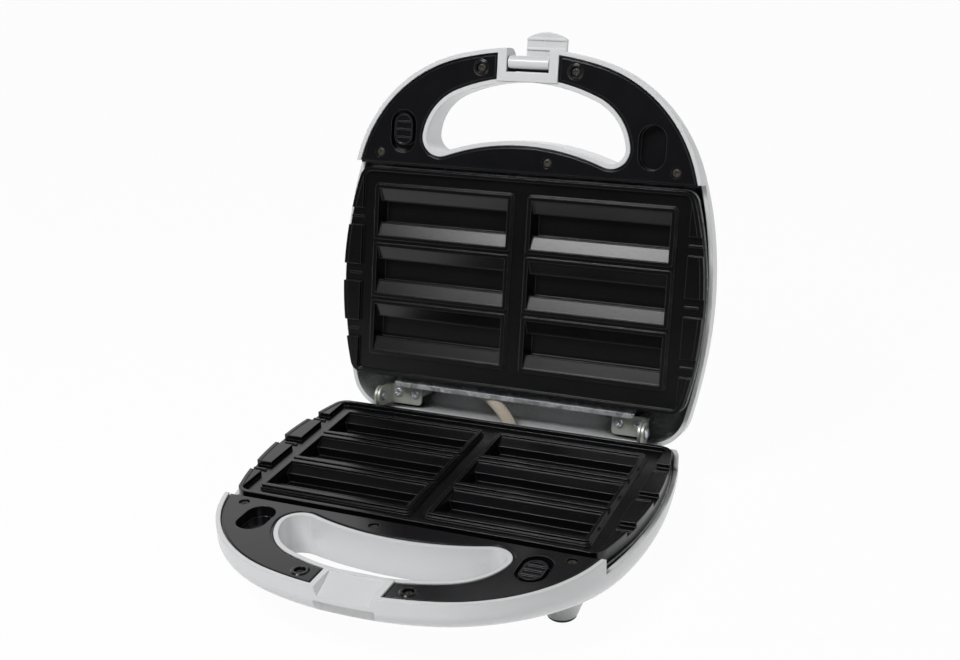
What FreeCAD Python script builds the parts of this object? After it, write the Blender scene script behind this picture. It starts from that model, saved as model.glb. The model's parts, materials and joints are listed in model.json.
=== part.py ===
import FreeCAD, Part
import math
import os

import Sketcher
from FreeCAD import Placement, Rotation, Vector

# A hinged press with two heated halves that bakes churros sticks, shown open.
#
# Each half is drawn open side up in its own frame: x runs across, v is the distance from the hinge
# axis towards the handle (the drawing's -Y), and w is the height above the plane where the halves
# meet. The lid is the same drawing turned over about the front-to-back line and swung open.

doc = FreeCAD.newDocument("churros_maker")

DIMENSIONS = [
    # Where the halves stand
    ("hinge_y", 68.98, "hinge axis behind the middle of the open part"),
    ("mate_z", 40, "meeting plane above the table"),
    ("lid_open", 101.9, "angle of the open lid from closed"),
    # Outline of both shells, seen from above
    ("half_width", 118.5, "widest point of a shell"),
    ("widest_v", 77.0, "where a shell is widest"),
    ("side_radius", 275.0, "long side curve"),
    ("shoulder_radius", 88.0, "curve beside the handle"),
    ("front_radius", 180.0, "curve of the handle's front"),
    ("front_reach", 219.8, "front of the handle"),
    ("rear_corner_radius", 24.0, "rear corners"),
    ("base_rear", 6.0, "rear wall of the base behind the hinge"),
    ("lid_rear", 10.5, "rear wall of the lid behind the hinge"),
    # Depth of both shells
    ("wall", 2.5, "moulded wall"),
    ("base_depth", 33, "underside of the base"),
    ("lid_depth", 38, "top of the lid"),
    ("bar_depth", 16.8, "handle bar, each half"),
    ("slope_rear_v", 88, "where the underside starts to rise"),
    ("slope_front_v", 216, "where the underside reaches the handle bar"),
    ("body_edge", 20.5, "rounding under the sides"),
    ("bar_edge", 8.8, "rounding under the handle bar"),
    ("base_rear_edge", 6.0, "rounding under the base's rear wall"),
    ("lid_rear_edge", 13.0, "rounding of the lid's rear wall"),
    # Rims of the shells
    ("handle_lip", 0.5, "handle rim below the meeting plane"),
    ("side_lip", 9.0, "side rim below the meeting plane"),
    ("post_lip", 6.0, "raised rim at the base's rear corners, below the meeting plane"),
    ("handle_start", 147.0, "step between side rim and handle rim"),
    ("post_end", 24.0, "front of the raised rim"),
    ("post_rear", 4.0, "rear of the raised rim"),
    # Handle opening
    ("hole_front", 199.8, "front edge"),
    ("hole_rear", 165.2, "rear edge at the middle"),
    ("hole_half", 63.0, "half length"),
    ("hole_front_radius", 110.0, "front curve"),
    ("hole_shoulder_radius", 33.0, "front corners"),
    ("hole_end_radius", 9.0, "rear corners"),
    ("hole_rear_radius", 143.0, "rear curve, bulging into the opening"),
    ("collar", 2.6, "wall around the opening"),
    # Handle cover
    ("cover_gap", 0.4, "gap around the cover"),
    ("cover_top", 1.0, "cover below the meeting plane"),
    ("cover_thick", 2.5, "cover thickness"),
    ("cover_step", 0.7, "border of the cover below its face"),
    ("cover_border", 1.2, "width of the cover's border"),
    ("cover_rear", 146.0, "rear edge of the cover"),
    ("cover_end", 19.0, "ends of the cover beside the latch"),
    ("guide_u", 78.5, "guide boss and pocket, across"),
    ("guide_v", 166.5, "guide boss and pocket, front to back"),
    ("pocket_width", 16.6, "guide pocket"),
    ("pocket_length", 26.0, "guide pocket"),
    ("pocket_deep", 7.2, "pocket floor below the meeting plane"),
    ("cup_wall", 1.5, "wall round a guide pocket"),
    ("cup_lap", 0.5, "top of that wall below the cover's border"),
    ("boss_width", 12, "guide boss"),
    ("boss_length", 19, "guide boss"),
    ("boss_top", 0.8, "boss below the meeting plane"),
    ("boss_shift", 1.2, "boss ahead of its pocket's middle"),
    ("boss_rim", 0.9, "rim and ribs of a boss"),
    ("boss_dish", 1.0, "hollow between the ribs of a boss"),
    ("rib_inset", 0.2, "ends of a boss's ribs inside its outline"),
    ("rib_root", 0.5, "ribs below the hollow's floor"),
    ("front_screw_u", 29.5, "front cover screws"),
    ("front_screw_v", 207.0, "front cover screws"),
    ("corner_screw_u", 93.7, "rear cover screws"),
    ("corner_screw_v", 153.0, "rear cover screws"),
    ("mid_screw_u", 15.3, "middle cover screw"),
    ("mid_screw_v", 153.4, "middle cover screw"),
    ("screw_ring", 4.9, "raised ring around a front screw"),
    ("ring_top", 4.1, "top of the ring"),
    ("ring_rise", 0.6, "ring above the cover's face"),
    ("cover_head", 2.6, "head radius of a cover screw"),
    ("cover_well", 3.0, "well around a cover screw's head"),
    ("well_deep", 2.2, "floor of a screw's well below the cover's face"),
    # Cooking plate
    ("plate_front", 143.3, "front edge"),
    ("plate_rear", 13.2, "rear edge"),
    ("plate_half", 115.3, "widest point"),
    ("plate_widest_v", 75.0, "where the plate is widest"),
    ("plate_side_radius", 225.0, "side curve"),
    ("plate_corner", 8.0, "corner radius"),
    ("panel_top", 3.0, "flat panel below the meeting plane"),
    ("panel_thick", 3.0, "casting thickness"),
    ("skirt_deep", 9.0, "skirt below the meeting plane"),
    ("skirt_thick", 2.5, "skirt thickness"),
    ("rim_inner", 104.0, "inner side of the raised blocks on the wings"),
    ("rim_top", 0.5, "raised blocks below the meeting plane"),
    ("edge_top", 0.25, "rim along front, rear and corners below the meeting plane"),
    ("edge_width", 2.2, "rim along front, rear and corners"),
    ("channel_width", 11.0, "steam channels between the blocks"),
    ("channel_pitch", 35.6, "steam channels, front to back"),
    ("channel_mid", 76.5, "middle steam channel"),
    ("ridge_width", 1.3, "ridge along the middle of a channel"),
    ("ridge_rise", 0.9, "ridge above the panel"),
    ("ridge_length", 8.0, "ridge along a channel, across"),
    # Churros cavities
    ("bead_top", 0.15, "rim beads below the meeting plane"),
    ("bead_width", 2.4, "rim bead"),
    ("bead_corner", 1.8, "outer corner of a rim bead"),
    ("step_top", 1.7, "step around each column of cavities"),
    ("step_out", 0.9, "step beyond the rim beads"),
    ("cell_u", 50.35, "middle of a column of cavities"),
    ("cell_length", 90.3, "cavity with its beads, across"),
    ("cell_width", 33.8, "cavity with its beads, front to back"),
    ("cell_pitch", 36.2, "rows of cavities"),
    ("cell_mid", 79.8, "middle row"),
    ("cavity_deep", 9.2, "cavity floor below the meeting plane"),
    ("slope_deep", 1.6, "where the sloping sides start"),
    ("trough_wall", 3.0, "casting around a cavity"),
    ("ledge_deep", 3.9, "ledge where slope meets floor"),
    ("ledge_half", 7.3, "outer edge of the ledge from the cavity's middle"),
    ("floor_half", 6.6, "half width of the floor"),
    ("end_draft", 2.6, "lean of the end walls"),
    ("vent_radius", 1.1, "vent pip on the outer end of each bead"),
    ("vent_drop", 0.2, "vent pip below its bead"),
    # Heating element and heat shield
    ("tube_radius", 3.25, "heating tube"),
    ("bend_u", 99.7, "cross run of the tube"),
    ("bend_radius", 9.0, "bends of the tube"),
    ("tube_end_u", 93.0, "open ends of the tube"),
    ("pin_radius", 1.6, "cold pins of the tube"),
    ("pin_length", 8.0, "cold pins of the tube"),
    ("sheet", 0.8, "galvanised sheet"),
    ("tray_half", 104.5, "heat shield tray, across"),
    ("tray_rear", 20.0, "heat shield tray, rear"),
    ("tray_front", 137.0, "heat shield tray, front"),
    ("tray_corner", 10.0, "heat shield tray corners"),
    ("tray_deep", 19.8, "underside of the tray"),
    ("flange_out", 0.5, "flange beyond the plate"),
    ("strip_half", 78.5, "rear strip, across"),
    ("strip_rear", 6.4, "rear strip, rear edge"),
    ("strip_top", 4.0, "rear strip below the meeting plane"),
    ("strip_fold", 9.2, "fold of the rear strip"),
    ("strip_lap", 1.0, "rear strip's lap on the flange"),
    ("fold_under", 0.4, "underside of the fold behind its top"),
    ("fold_over", 0.3, "top of the lower fold behind the flange"),
    ("sheet_corner", 2.5, "corners of bent sheet"),
    ("stay_u", 60.0, "screws of the heat shield, across"),
    ("stay_rear_v", 40.0, "rear screws of the heat shield"),
    ("stay_front_v", 120.0, "front screws of the heat shield"),
    ("stay_radius", 4.2, "moulded posts under the heat shield"),
    # Screws
    ("shank", 1.5, "screw shank radius"),
    ("head", 2.8, "screw head radius"),
    ("head_tall", 1.6, "screw head height"),
    ("clear_hole", 1.75, "hole that a shank passes freely"),
    ("boss", 3.6, "moulded screw boss radius"),
    ("pilot", 9.0, "depth of a screw's pilot hole"),
    ("hinge_pilot", 3.6, "depth of a hinge screw's pilot hole"),
    ("screw_spare", 1.0, "end of a pilot hole past its screw"),
    # Hinges
    ("bracket", 1.5, "bracket sheet"),
    ("lid_ear_u", 84.0, "inner face of the lid's ear"),
    ("base_ear_u", 86.0, "inner face of the base's ear"),
    ("ear_radius", 6.2, "rounded end of an ear"),
    ("base_ear_rear", 1.8, "base bracket behind the hinge axis"),
    ("base_ear_front", 9.0, "base bracket in front of the hinge axis"),
    ("bracket_inner", 63.0, "inner end of a bracket's foot"),
    ("hinge_screw_a", 67.5, "inner bracket screw"),
    ("hinge_screw_b", 79.0, "outer bracket screw"),
    ("hinge_screw_v", 1.0, "bracket screws"),
    ("lid_foot_deep", 12.0, "lid bracket's foot below the meeting plane"),
    ("base_foot_deep", 26.5, "base bracket's foot below the meeting plane"),
    ("ear_slope", 2.5, "height over which an ear narrows to its round end"),
    ("base_hinge_screw", 4.0, "length of the base bracket's screws"),
    ("lid_hinge_screw", 4.5, "length of the lid bracket's screws"),
    ("rivet", 2.0, "hinge rivet radius"),
    ("rivet_head", 3.9, "rivet head radius"),
    ("rivet_play", 0.3, "peened end clear of the lid's ear"),
    ("peen_rise", 0.9, "peened end beyond the shank"),
    ("peen_face", 0.2, "flat of the peened end beyond the shank"),
    ("peen_edge", 0.6, "straight edge of the peened end"),
    ("peen_tall", 1.3, "peened end"),
    ("dome_edge", 0.8, "straight edge of a rivet's head"),
    ("dome_bevel", 1.6, "sloping edge of a rivet's head"),
    ("dome_tall", 1.8, "rivet's head"),
    ("running", 0.05, "running clearance on a radius"),
    # Latch
    ("latch_v", 211.0, "latch pin"),
    ("latch_deep", 5.0, "latch pin below the meeting plane"),
    ("latch_width", 25.5, "latch"),
    ("barrel", 4.0, "latch barrel radius"),
    ("latch_pin", 1.5, "latch pin radius"),
    ("leg_thick", 3.2, "latch leg"),
    ("leg_offset", 3.5, "leg behind the latch pin"),
    ("tab_deep", 32.5, "inner face of the tab below the meeting plane"),
    ("tab_thick", 2.6, "latch tab"),
    ("tab_tip", 230.3, "tip of the tab"),
    ("tab_round", 23.0, "curve of the tab's tip"),
    ("heel_in", 1.3, "bevel at the root of the leg"),
    ("heel_rise", 0.5, "root of the leg above the latch pin"),
    ("heel_drop", 2.5, "end of the bevel below the latch pin"),
    ("elbow", 3.0, "outer bevel between leg and tab"),
    ("elbow_inner", 2.0, "inner bevel between leg and tab"),
    ("grip_rib", 0.5, "grip ribs across the tab"),
    ("grip_front", 4.3, "front grip rib behind the tab's tip"),
    ("grip_rear", 10.3, "rear grip rib behind the tab's tip"),
    ("pin_inset", 1.5, "ends of the latch pin behind the cover's ends"),
    ("hook_half", 9.0, "hook on the leg, half width"),
    ("hook_reach", 2.2, "hook in front of the latch pin"),
    ("hook_deep", 21.0, "top of the hook below the meeting plane"),
    ("hook_edge", 1.8, "edge of the hook"),
    ("hook_tall", 4.5, "root of the hook"),
    ("notch_half", 13.3, "latch notch in the lid"),
    ("notch_play", 0.5, "notch behind the latch's leg"),
    ("pin_seat", 1.0, "ends of the latch pin's hole behind the cover's ends"),
    ("saddle_half", 13.3, "floor of the saddle in the base's bar"),
    ("saddle_deep", 5.3, "front edge of the saddle's floor"),
    ("saddle_lean", 3.0, "lean of the saddle's sides"),
    ("lip_thick", 2.9, "lip in front of the saddle, which the hook catches"),
    ("hook_pocket", 214.5, "wall of the pocket under the lip"),
    ("pocket_half", 14.5, "pocket under the lip, half width"),
    ("pocket_flare", 3.5, "pocket wider at the front, each side"),
    # Feet, gland and lamps
    ("foot_u", 84.6, "feet, across"),
    ("foot_front_v", 143, "front feet"),
    ("foot_rear_v", 10.0, "rear feet"),
    ("foot_radius", 8.3, "end of a moulded foot"),
    ("foot_root", 14.5, "root of a moulded foot"),
    ("foot_top", 22.0, "root of a moulded foot below the meeting plane"),
    ("foot_gap", 0.05, "between a foot and the shell"),
    ("pad_radius", 7.7, "rubber pad"),
    ("pad_tall", 2.0, "rubber pad below the foot"),
    ("pad_edge", 0.6, "bevel of a pad"),
    ("plug_radius", 4.0, "plug of the pad inside the foot"),
    ("plug_tall", 4.0, "plug of the pad inside the foot"),
    ("gland_u", -50.0, "cord gland, across"),
    ("gland_deep", 20, "cord gland below the meeting plane"),
    ("gland_bore", 3.6, "cord gland bore radius"),
    ("gland_neck", 5.2, "cord gland through the wall"),
    ("gland_flange", 6.5, "cord gland flange"),
    ("gland_inner", 2.0, "cord gland's inner flange"),
    ("gland_outer", 2.4, "cord gland's outer flange"),
    ("gland_taper", 0.8, "taper of the outer flange"),
    ("lens_u", 10.0, "lamp lenses, across"),
    ("lens_v", 80, "lamp lenses, front to back"),
    ("lens_radius", 4.0, "lamp lens"),
    ("lens_flange", 1.5, "flange of a lens"),
    ("flange_tall", 1.2, "flange of a lens"),
    ("lens_rise", 0.6, "straight side of a lens above the lid"),
    ("lens_bevel", 1.2, "sloping edge of a lens"),
    ("lens_tall", 1.4, "top of a lens above the lid"),
    ("lamp_radius", 3.0, "lamp bulb"),
    ("lamp_tip", 1.5, "tip of a bulb"),
    ("lamp_slope", 1.8, "height over which a bulb widens"),
    ("lamp_tall", 10.0, "lamp bulb"),
    ("lamp_bevel", 1.0, "bevel of a bulb's foot"),
    # Controls on the base's heat shield
    ("control_v", 62.0, "thermostat and thermal cut-out, front to back"),
    ("thermostat_u", 32.0, "thermostat, across"),
    ("cap_radius", 8.5, "cap of the thermostat"),
    ("cap_tall", 1.2, "cap of the thermostat"),
    ("case_radius", 7.2, "case of the thermostat"),
    ("case_tall", 6.5, "where the case starts to narrow"),
    ("case_end", 5.5, "end radius of the case"),
    ("thermostat_tall", 8.0, "thermostat without its terminals"),
    ("terminal_root", 7.0, "root of the terminals"),
    ("terminal_tall", 9.8, "ends of the terminals"),
    ("terminal_width", 3.0, "flat terminals"),
    ("terminal_thick", 0.8, "flat terminals"),
    ("terminal_pitch", 6.0, "between the terminals' middles"),
    ("fuse_radius", 2.4, "thermal cut-out"),
    ("fuse_start", -46.0, "thermal cut-out, across"),
    ("fuse_end", -22.0, "thermal cut-out, across"),
    ("lead_radius", 0.8, "leads of the cut-out"),
    ("lead_length", 7.0, "leads of the cut-out"),
    ("lead_root", 0.5, "leads inside the cut-out"),
    ("strap_start", -37.0, "strap round the cut-out, across"),
    ("strap_end", -31.0, "strap round the cut-out, across"),
    ("strap_reach", 10.0, "strap, front to back from its middle"),
    # Terminal block on the base's floor
    ("block_u", -38.0, "terminal block, across"),
    ("block_v", 31.0, "terminal block, front to back"),
    ("block_half", 12.0, "half length"),
    ("block_side", 7.0, "half width"),
    ("block_tall", 9.0, "height"),
    ("block_ledge", 5.0, "ledges where the wires enter"),
    ("block_bar", 4.0, "raised bar between the ledges, half width"),
    ("block_well", 2.2, "screw wells"),
    ("block_well_floor", 4.0, "floor of the screw wells"),
    ("block_pitch", 12.0, "between the screw wells"),
    # Wire sleeve between the halves
    ("sleeve_radius", 3.8, "braided sleeve"),
]


class Size:
    """A length together with the sheet expression that gives it."""

    def __init__(self, value, text):
        self.value = float(value)
        self.text = text

    def joined(self, sign, other, value):
        return Size(value, f"({self.text} {sign} {other.text})")

    def __add__(self, other):
        other = as_size(other)
        return self.joined("+", other, self.value + other.value)

    def __sub__(self, other):
        other = as_size(other)
        return self.joined("-", other, self.value - other.value)

    def __mul__(self, other):
        other = as_size(other)
        return self.joined("*", other, self.value * other.value)

    def __truediv__(self, other):
        other = as_size(other)
        return self.joined("/", other, self.value / other.value)

    def __radd__(self, other):
        return as_size(other) + self

    def __rsub__(self, other):
        return as_size(other) - self

    def __rmul__(self, other):
        return as_size(other) * self

    def __neg__(self):
        return Size(-self.value, f"(0 - {self.text})")


def as_size(item):
    """Take a plain number or a size, and give a size."""
    return item if isinstance(item, Size) else Size(item, f"({float(item)})")


class Dimensions:
    """The sheet's cells, each one an attribute."""

    def __init__(self, rows):
        sheet = doc.addObject("Spreadsheet::Sheet", "Dims")
        for row, (alias, value, note) in enumerate(rows, start=1):
            sheet.set(f"A{row}", alias)
            sheet.set(f"B{row}", str(value))
            sheet.setAlias(f"B{row}", alias)
            sheet.set(f"C{row}", note)
            setattr(self, alias, Size(value, f"Dims.{alias}"))


d = Dimensions(DIMENSIONS)
doc.recompute()

# Reach of a cutter past the part, and the smallest length that counts
BEYOND = 40.0
TINY = 1e-6

SIDE_VIEW = Rotation(Vector(0, -1, 0), Vector(0, 0, 1), Vector(-1, 0, 0), "XYZ")
FRONT_VIEW = Rotation(Vector(1, 0, 0), Vector(0, 0, 1), Vector(0, -1, 0), "XYZ")


# Drawing helpers

def bind(item, path, size):
    """Tie one property of an object to the sheet."""
    item.setExpression(path, as_size(size).text)


def put(item, x, v, w):
    """Place an object at a point of the half's own frame."""
    bind(item, "Placement.Base.x", x)
    bind(item, "Placement.Base.y", -as_size(v))
    bind(item, "Placement.Base.z", w)
    return item


def box(name, x, v, w):
    """A block between two limits in each direction."""
    item = doc.addObject("Part::Box", name)
    for path, (low, high) in (("Length", x), ("Width", v), ("Height", w)):
        bind(item, path, as_size(high) - low)
    return put(item, x[0], v[1], w[0])


def cylinder(name, radius, x, v, w):
    """An upright cylinder between two heights."""
    item = doc.addObject("Part::Cylinder", name)
    bind(item, "Radius", radius)
    bind(item, "Height", as_size(w[1]) - w[0])
    return put(item, x, v, w[0])


def cross_cylinder(name, radius, x, v, w):
    """A cylinder that lies across the part."""
    item = doc.addObject("Part::Cylinder", name)
    item.Placement = Placement(Vector(), Rotation(Vector(0, 1, 0), 90))
    bind(item, "Radius", radius)
    bind(item, "Height", as_size(x[1]) - x[0])
    return put(item, x[0], v, w)


def cone(name, low_radius, high_radius, x, v, w):
    """An upright cone between two heights."""
    item = doc.addObject("Part::Cone", name)
    bind(item, "Radius1", low_radius)
    bind(item, "Radius2", high_radius)
    bind(item, "Height", as_size(w[1]) - w[0])
    return put(item, x, v, w[0])


def fuse(name, items):
    """Join several objects into one."""
    if len(items) == 1:
        return items[0]
    item = doc.addObject("Part::MultiFuse", name)
    item.Shapes = items
    item.Refine = True
    return item


def cut(name, base, tools):
    """Take tools away from an object."""
    item = doc.addObject("Part::Cut", name)
    item.Base = base
    item.Tool = fuse(f"{name}_tools", tools)
    item.Refine = True
    return item


def common(name, first, second):
    """Keep what two objects share."""
    item = doc.addObject("Part::Common", name)
    item.Base = first
    item.Tool = second
    return item


def group(name, items):
    """Several separate solids under one name."""
    item = doc.addObject("Part::Compound", name)
    item.Links = items
    return item


def extrude(name, sketch, direction, length, symmetric=False):
    """Pull a closed sketch into a solid."""
    item = doc.addObject("Part::Extrusion", name)
    item.Base = sketch
    item.DirMode = "Custom"
    item.Dir = direction
    item.Symmetric = symmetric
    item.Solid = True
    bind(item, "LengthFwd", length)
    return item


def fillet(name, base, radius_at):
    """Round the edges for which radius_at gives a radius at each end."""
    doc.recompute()
    item = doc.addObject("Part::Fillet", name)
    item.Base = base
    rounded = []
    for number, edge in enumerate(base.Shape.Edges, start=1):
        radii = radius_at(edge)
        if radii:
            rounded.append((number, radii[0], radii[1]))
    item.Edges = rounded
    return item


def ends_of(edge):
    """The two end points of an edge."""
    return edge.valueAt(edge.FirstParameter), edge.valueAt(edge.LastParameter)


def upright(edge):
    """Whether an edge runs straight up."""
    first, last = ends_of(edge)
    return (last - first).cross(Vector(0, 0, 1)).Length < TINY


def rounded_box(name, x, v, w, radius):
    """A block with its upright edges rounded."""
    block = box(f"{name}_block", x, v, w)
    size = as_size(radius).value
    return fillet(name, block, lambda edge: (size, size) if upright(edge) else None)


def slot_block(name, width, length, x, v, w):
    """An upright block with round ends, its length along v."""
    reach = (length - width) / 2
    middle = box(f"{name}_middle", (x - width / 2, x + width / 2), (v - reach, v + reach), w)
    caps = [cylinder(f"{name}_cap{side}", width / 2, x, v + side * reach, w) for side in (1, -1)]
    return fuse(name, [middle] + caps)


# Sketches

def pin(sketch, curve, point, across, along):
    """Fix a sketch point at a distance from both axes."""
    for kind, axis, size in (("DistanceX", -2, across), ("DistanceY", -1, along)):
        size = as_size(size)
        if abs(size.value) < TINY:
            sketch.addConstraint(Sketcher.Constraint("PointOnObject", curve, point, axis))
            continue
        order = (-1, 1, curve, point) if size.value > 0 else (curve, point, -1, 1)
        text = size.text if size.value > 0 else (-size).text
        number = sketch.addConstraint(Sketcher.Constraint(kind, *order, abs(size.value)))
        sketch.setExpression(f"Constraints[{number}]", text)


def level(sketch, curve, point, along):
    """Fix a sketch point's distance along the sketch's upright axis."""
    order = (-1, 1, curve, point) if along.value > 0 else (curve, point, -1, 1)
    text = along.text if along.value > 0 else (-along).text
    number = sketch.addConstraint(Sketcher.Constraint("DistanceY", *order, abs(along.value)))
    sketch.setExpression(f"Constraints[{number}]", text)


def new_sketch(name, rotation=None):
    """An empty sketch, seen from above unless a view is given."""
    sketch = doc.addObject("Sketcher::SketchObject", name)
    if rotation:
        sketch.Placement = Placement(Vector(), rotation)
    return sketch


def polygon(name, points, rotation=None):
    """A closed sketch of straight lines through points given as sizes."""
    sketch = new_sketch(name, rotation)
    corners = [Vector(as_size(a).value, as_size(b).value, 0) for a, b in points]
    count = len(corners)
    for number, corner in enumerate(corners):
        sketch.addGeometry(Part.LineSegment(corner, corners[(number + 1) % count]), False)
    for number, (across, along) in enumerate(points):
        sketch.addConstraint(Sketcher.Constraint("Coincident", number, 2, (number + 1) % count, 1))
        pin(sketch, number, 1, across, along)
    return sketch


class Loop:
    """A closed sketch of arcs and lines that meet end to end."""

    def __init__(self, name, rotation=None):
        self.sketch = new_sketch(name, rotation)
        self.curves = []

    def line(self, first, last, smooth=True):
        number = self.sketch.addGeometry(Part.LineSegment(first, last), False)
        self.curves.append((number, 1, 2, smooth))
        return number

    def arc(self, centre, radius, first, last, turn=1, smooth=True):
        """An arc of a bound radius; turn is -1 where the loop runs clockwise round its centre."""
        size = as_size(radius)
        start, end = (first, last) if turn > 0 else (last, first)
        angles = [math.atan2(point.y - centre.y, point.x - centre.x) for point in (start, end)]
        circle = Part.Circle(centre, Vector(0, 0, 1), size.value)
        number = self.sketch.addGeometry(Part.ArcOfCircle(circle, angles[0], angles[1]), False)
        limit = self.sketch.addConstraint(Sketcher.Constraint("Radius", number, size.value))
        self.sketch.setExpression(f"Constraints[{limit}]", size.text)
        self.curves.append((number, 1, 2, smooth) if turn > 0 else (number, 2, 1, smooth))
        return number

    def close(self):
        """Join each curve to the one before it, smoothly unless it starts at a corner."""
        for place, (curve, start, _, smooth) in enumerate(self.curves):
            before, _, end, _ = self.curves[place - 1]
            kind = "Tangent" if smooth else "Coincident"
            self.sketch.addConstraint(Sketcher.Constraint(kind, before, end, curve, start))
        return self.sketch


def circles_meet(first, first_radius, second, second_radius, pick):
    """The point where two circles cross that scores highest by pick."""
    apart = second - first
    along = (first_radius ** 2 - second_radius ** 2 + apart.Length ** 2) / (2 * apart.Length)
    aside = math.sqrt(first_radius ** 2 - along ** 2)
    unit = apart / apart.Length
    foot = first + unit * along
    return max((foot + Vector(-unit.y, unit.x, 0) * side for side in (aside, -aside)), key=pick)


def mirrored(point):
    return Vector(-point.x, point.y, 0)


def reach(centre, through, radius):
    """The point at a radius from a centre, on the way through another point."""
    return centre + (through - centre).normalize() * as_size(radius).value


def shell_outline(name, offset, rear):
    """Outline of a half: front curve, shoulders, long sides, rear corners and rear wall."""
    front_c = Vector(0, (d.front_radius - d.front_reach).value, 0)
    side_c = Vector((d.half_width - d.side_radius).value, -d.widest_v.value, 0)
    shoulder_c = circles_meet(front_c, (d.front_radius - d.shoulder_radius).value,
                              side_c, (d.side_radius - d.shoulder_radius).value, lambda p: -p.y)
    corner_y = (rear - d.rear_corner_radius).value
    corner_c = Vector(side_c.x + math.sqrt((d.side_radius - d.rear_corner_radius).value ** 2
                                           - (corner_y - side_c.y) ** 2), corner_y, 0)
    radii = [size - offset for size in
             (d.front_radius, d.shoulder_radius, d.side_radius, d.rear_corner_radius)]
    joint_a = reach(front_c, shoulder_c, radii[0])
    joint_b = reach(side_c, shoulder_c, radii[2])
    joint_c = reach(side_c, corner_c, radii[2])
    joint_d = Vector(corner_c.x, (rear - offset).value, 0)
    widest = reach(side_c, side_c + Vector(1, 0, 0), radii[2])
    loop = Loop(name)
    front = loop.arc(front_c, radii[0], mirrored(joint_a), joint_a)
    loop.arc(shoulder_c, radii[1], joint_a, joint_b)
    right = loop.arc(side_c, radii[2], joint_b, widest)
    loop.arc(side_c, radii[2], widest, joint_c)
    loop.arc(corner_c, radii[3], joint_c, joint_d)
    back = loop.line(joint_d, mirrored(joint_d))
    loop.arc(mirrored(corner_c), radii[3], mirrored(joint_d), mirrored(joint_c))
    loop.arc(mirrored(side_c), radii[2], mirrored(joint_c), mirrored(widest))
    left = loop.arc(mirrored(side_c), radii[2], mirrored(widest), mirrored(joint_b))
    loop.arc(mirrored(shoulder_c), radii[1], mirrored(joint_b), mirrored(joint_a))
    sketch = loop.close()
    pin(sketch, front, 3, 0, d.front_radius - d.front_reach)
    pin(sketch, right, 3, d.half_width - d.side_radius, -d.widest_v)
    pin(sketch, left, 3, d.side_radius - d.half_width, -d.widest_v)
    sketch.addConstraint(Sketcher.Constraint("Horizontal", back))
    level(sketch, back, 1, rear - offset)
    level(sketch, right, 2, -d.widest_v)
    level(sketch, left, 1, -d.widest_v)
    return sketch


def underside_profile(name, offset, depth):
    """Side view of a half: deep body, a smooth rise and a thin handle bar."""
    low, high = (as_size(depth) - offset).value, (d.bar_depth - offset).value
    start, end = d.slope_rear_v.value, d.slope_front_v.value
    run, rise = end - start, low - high
    radius = Size((run ** 2 + rise ** 2) / (4 * rise), f"(((Dims.slope_front_v - Dims.slope_rear_v)^2"
                  f" + ({as_size(depth).text} - Dims.bar_depth)^2)"
                  f" / (4 * ({as_size(depth).text} - Dims.bar_depth)))")
    rear, front, top = -BEYOND, d.front_reach.value + BEYOND, BEYOND / 8
    middle = Vector((start + end) / 2, -(low + high) / 2, 0)
    loop = Loop(name, SIDE_VIEW)
    back = loop.line(Vector(rear, top, 0), Vector(rear, -low, 0), smooth=False)
    belly = loop.line(Vector(rear, -low, 0), Vector(start, -low, 0), smooth=False)
    loop.arc(Vector(start, radius.value - low, 0), radius, Vector(start, -low, 0), middle)
    loop.arc(Vector(end, -high - radius.value, 0), radius, middle, Vector(end, -high, 0), turn=-1)
    bar = loop.line(Vector(end, -high, 0), Vector(front, -high, 0))
    nose = loop.line(Vector(front, -high, 0), Vector(front, top, 0), smooth=False)
    lid = loop.line(Vector(front, top, 0), Vector(rear, top, 0), smooth=False)
    sketch = loop.close()
    for line, kind in ((back, "Vertical"), (belly, "Horizontal"), (bar, "Horizontal"),
                       (nose, "Vertical"), (lid, "Horizontal")):
        sketch.addConstraint(Sketcher.Constraint(kind, line))
    pin(sketch, back, 2, rear, -(as_size(depth) - offset))
    pin(sketch, nose, 2, front, top)
    limit = sketch.addConstraint(Sketcher.Constraint("DistanceY", bar, 1, -1, 1, high))
    sketch.setExpression(f"Constraints[{limit}]", (d.bar_depth - offset).text)
    limit = sketch.addConstraint(Sketcher.Constraint("DistanceX", -1, 1, belly, 2, start))
    sketch.setExpression(f"Constraints[{limit}]", d.slope_rear_v.text)
    return sketch


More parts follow.
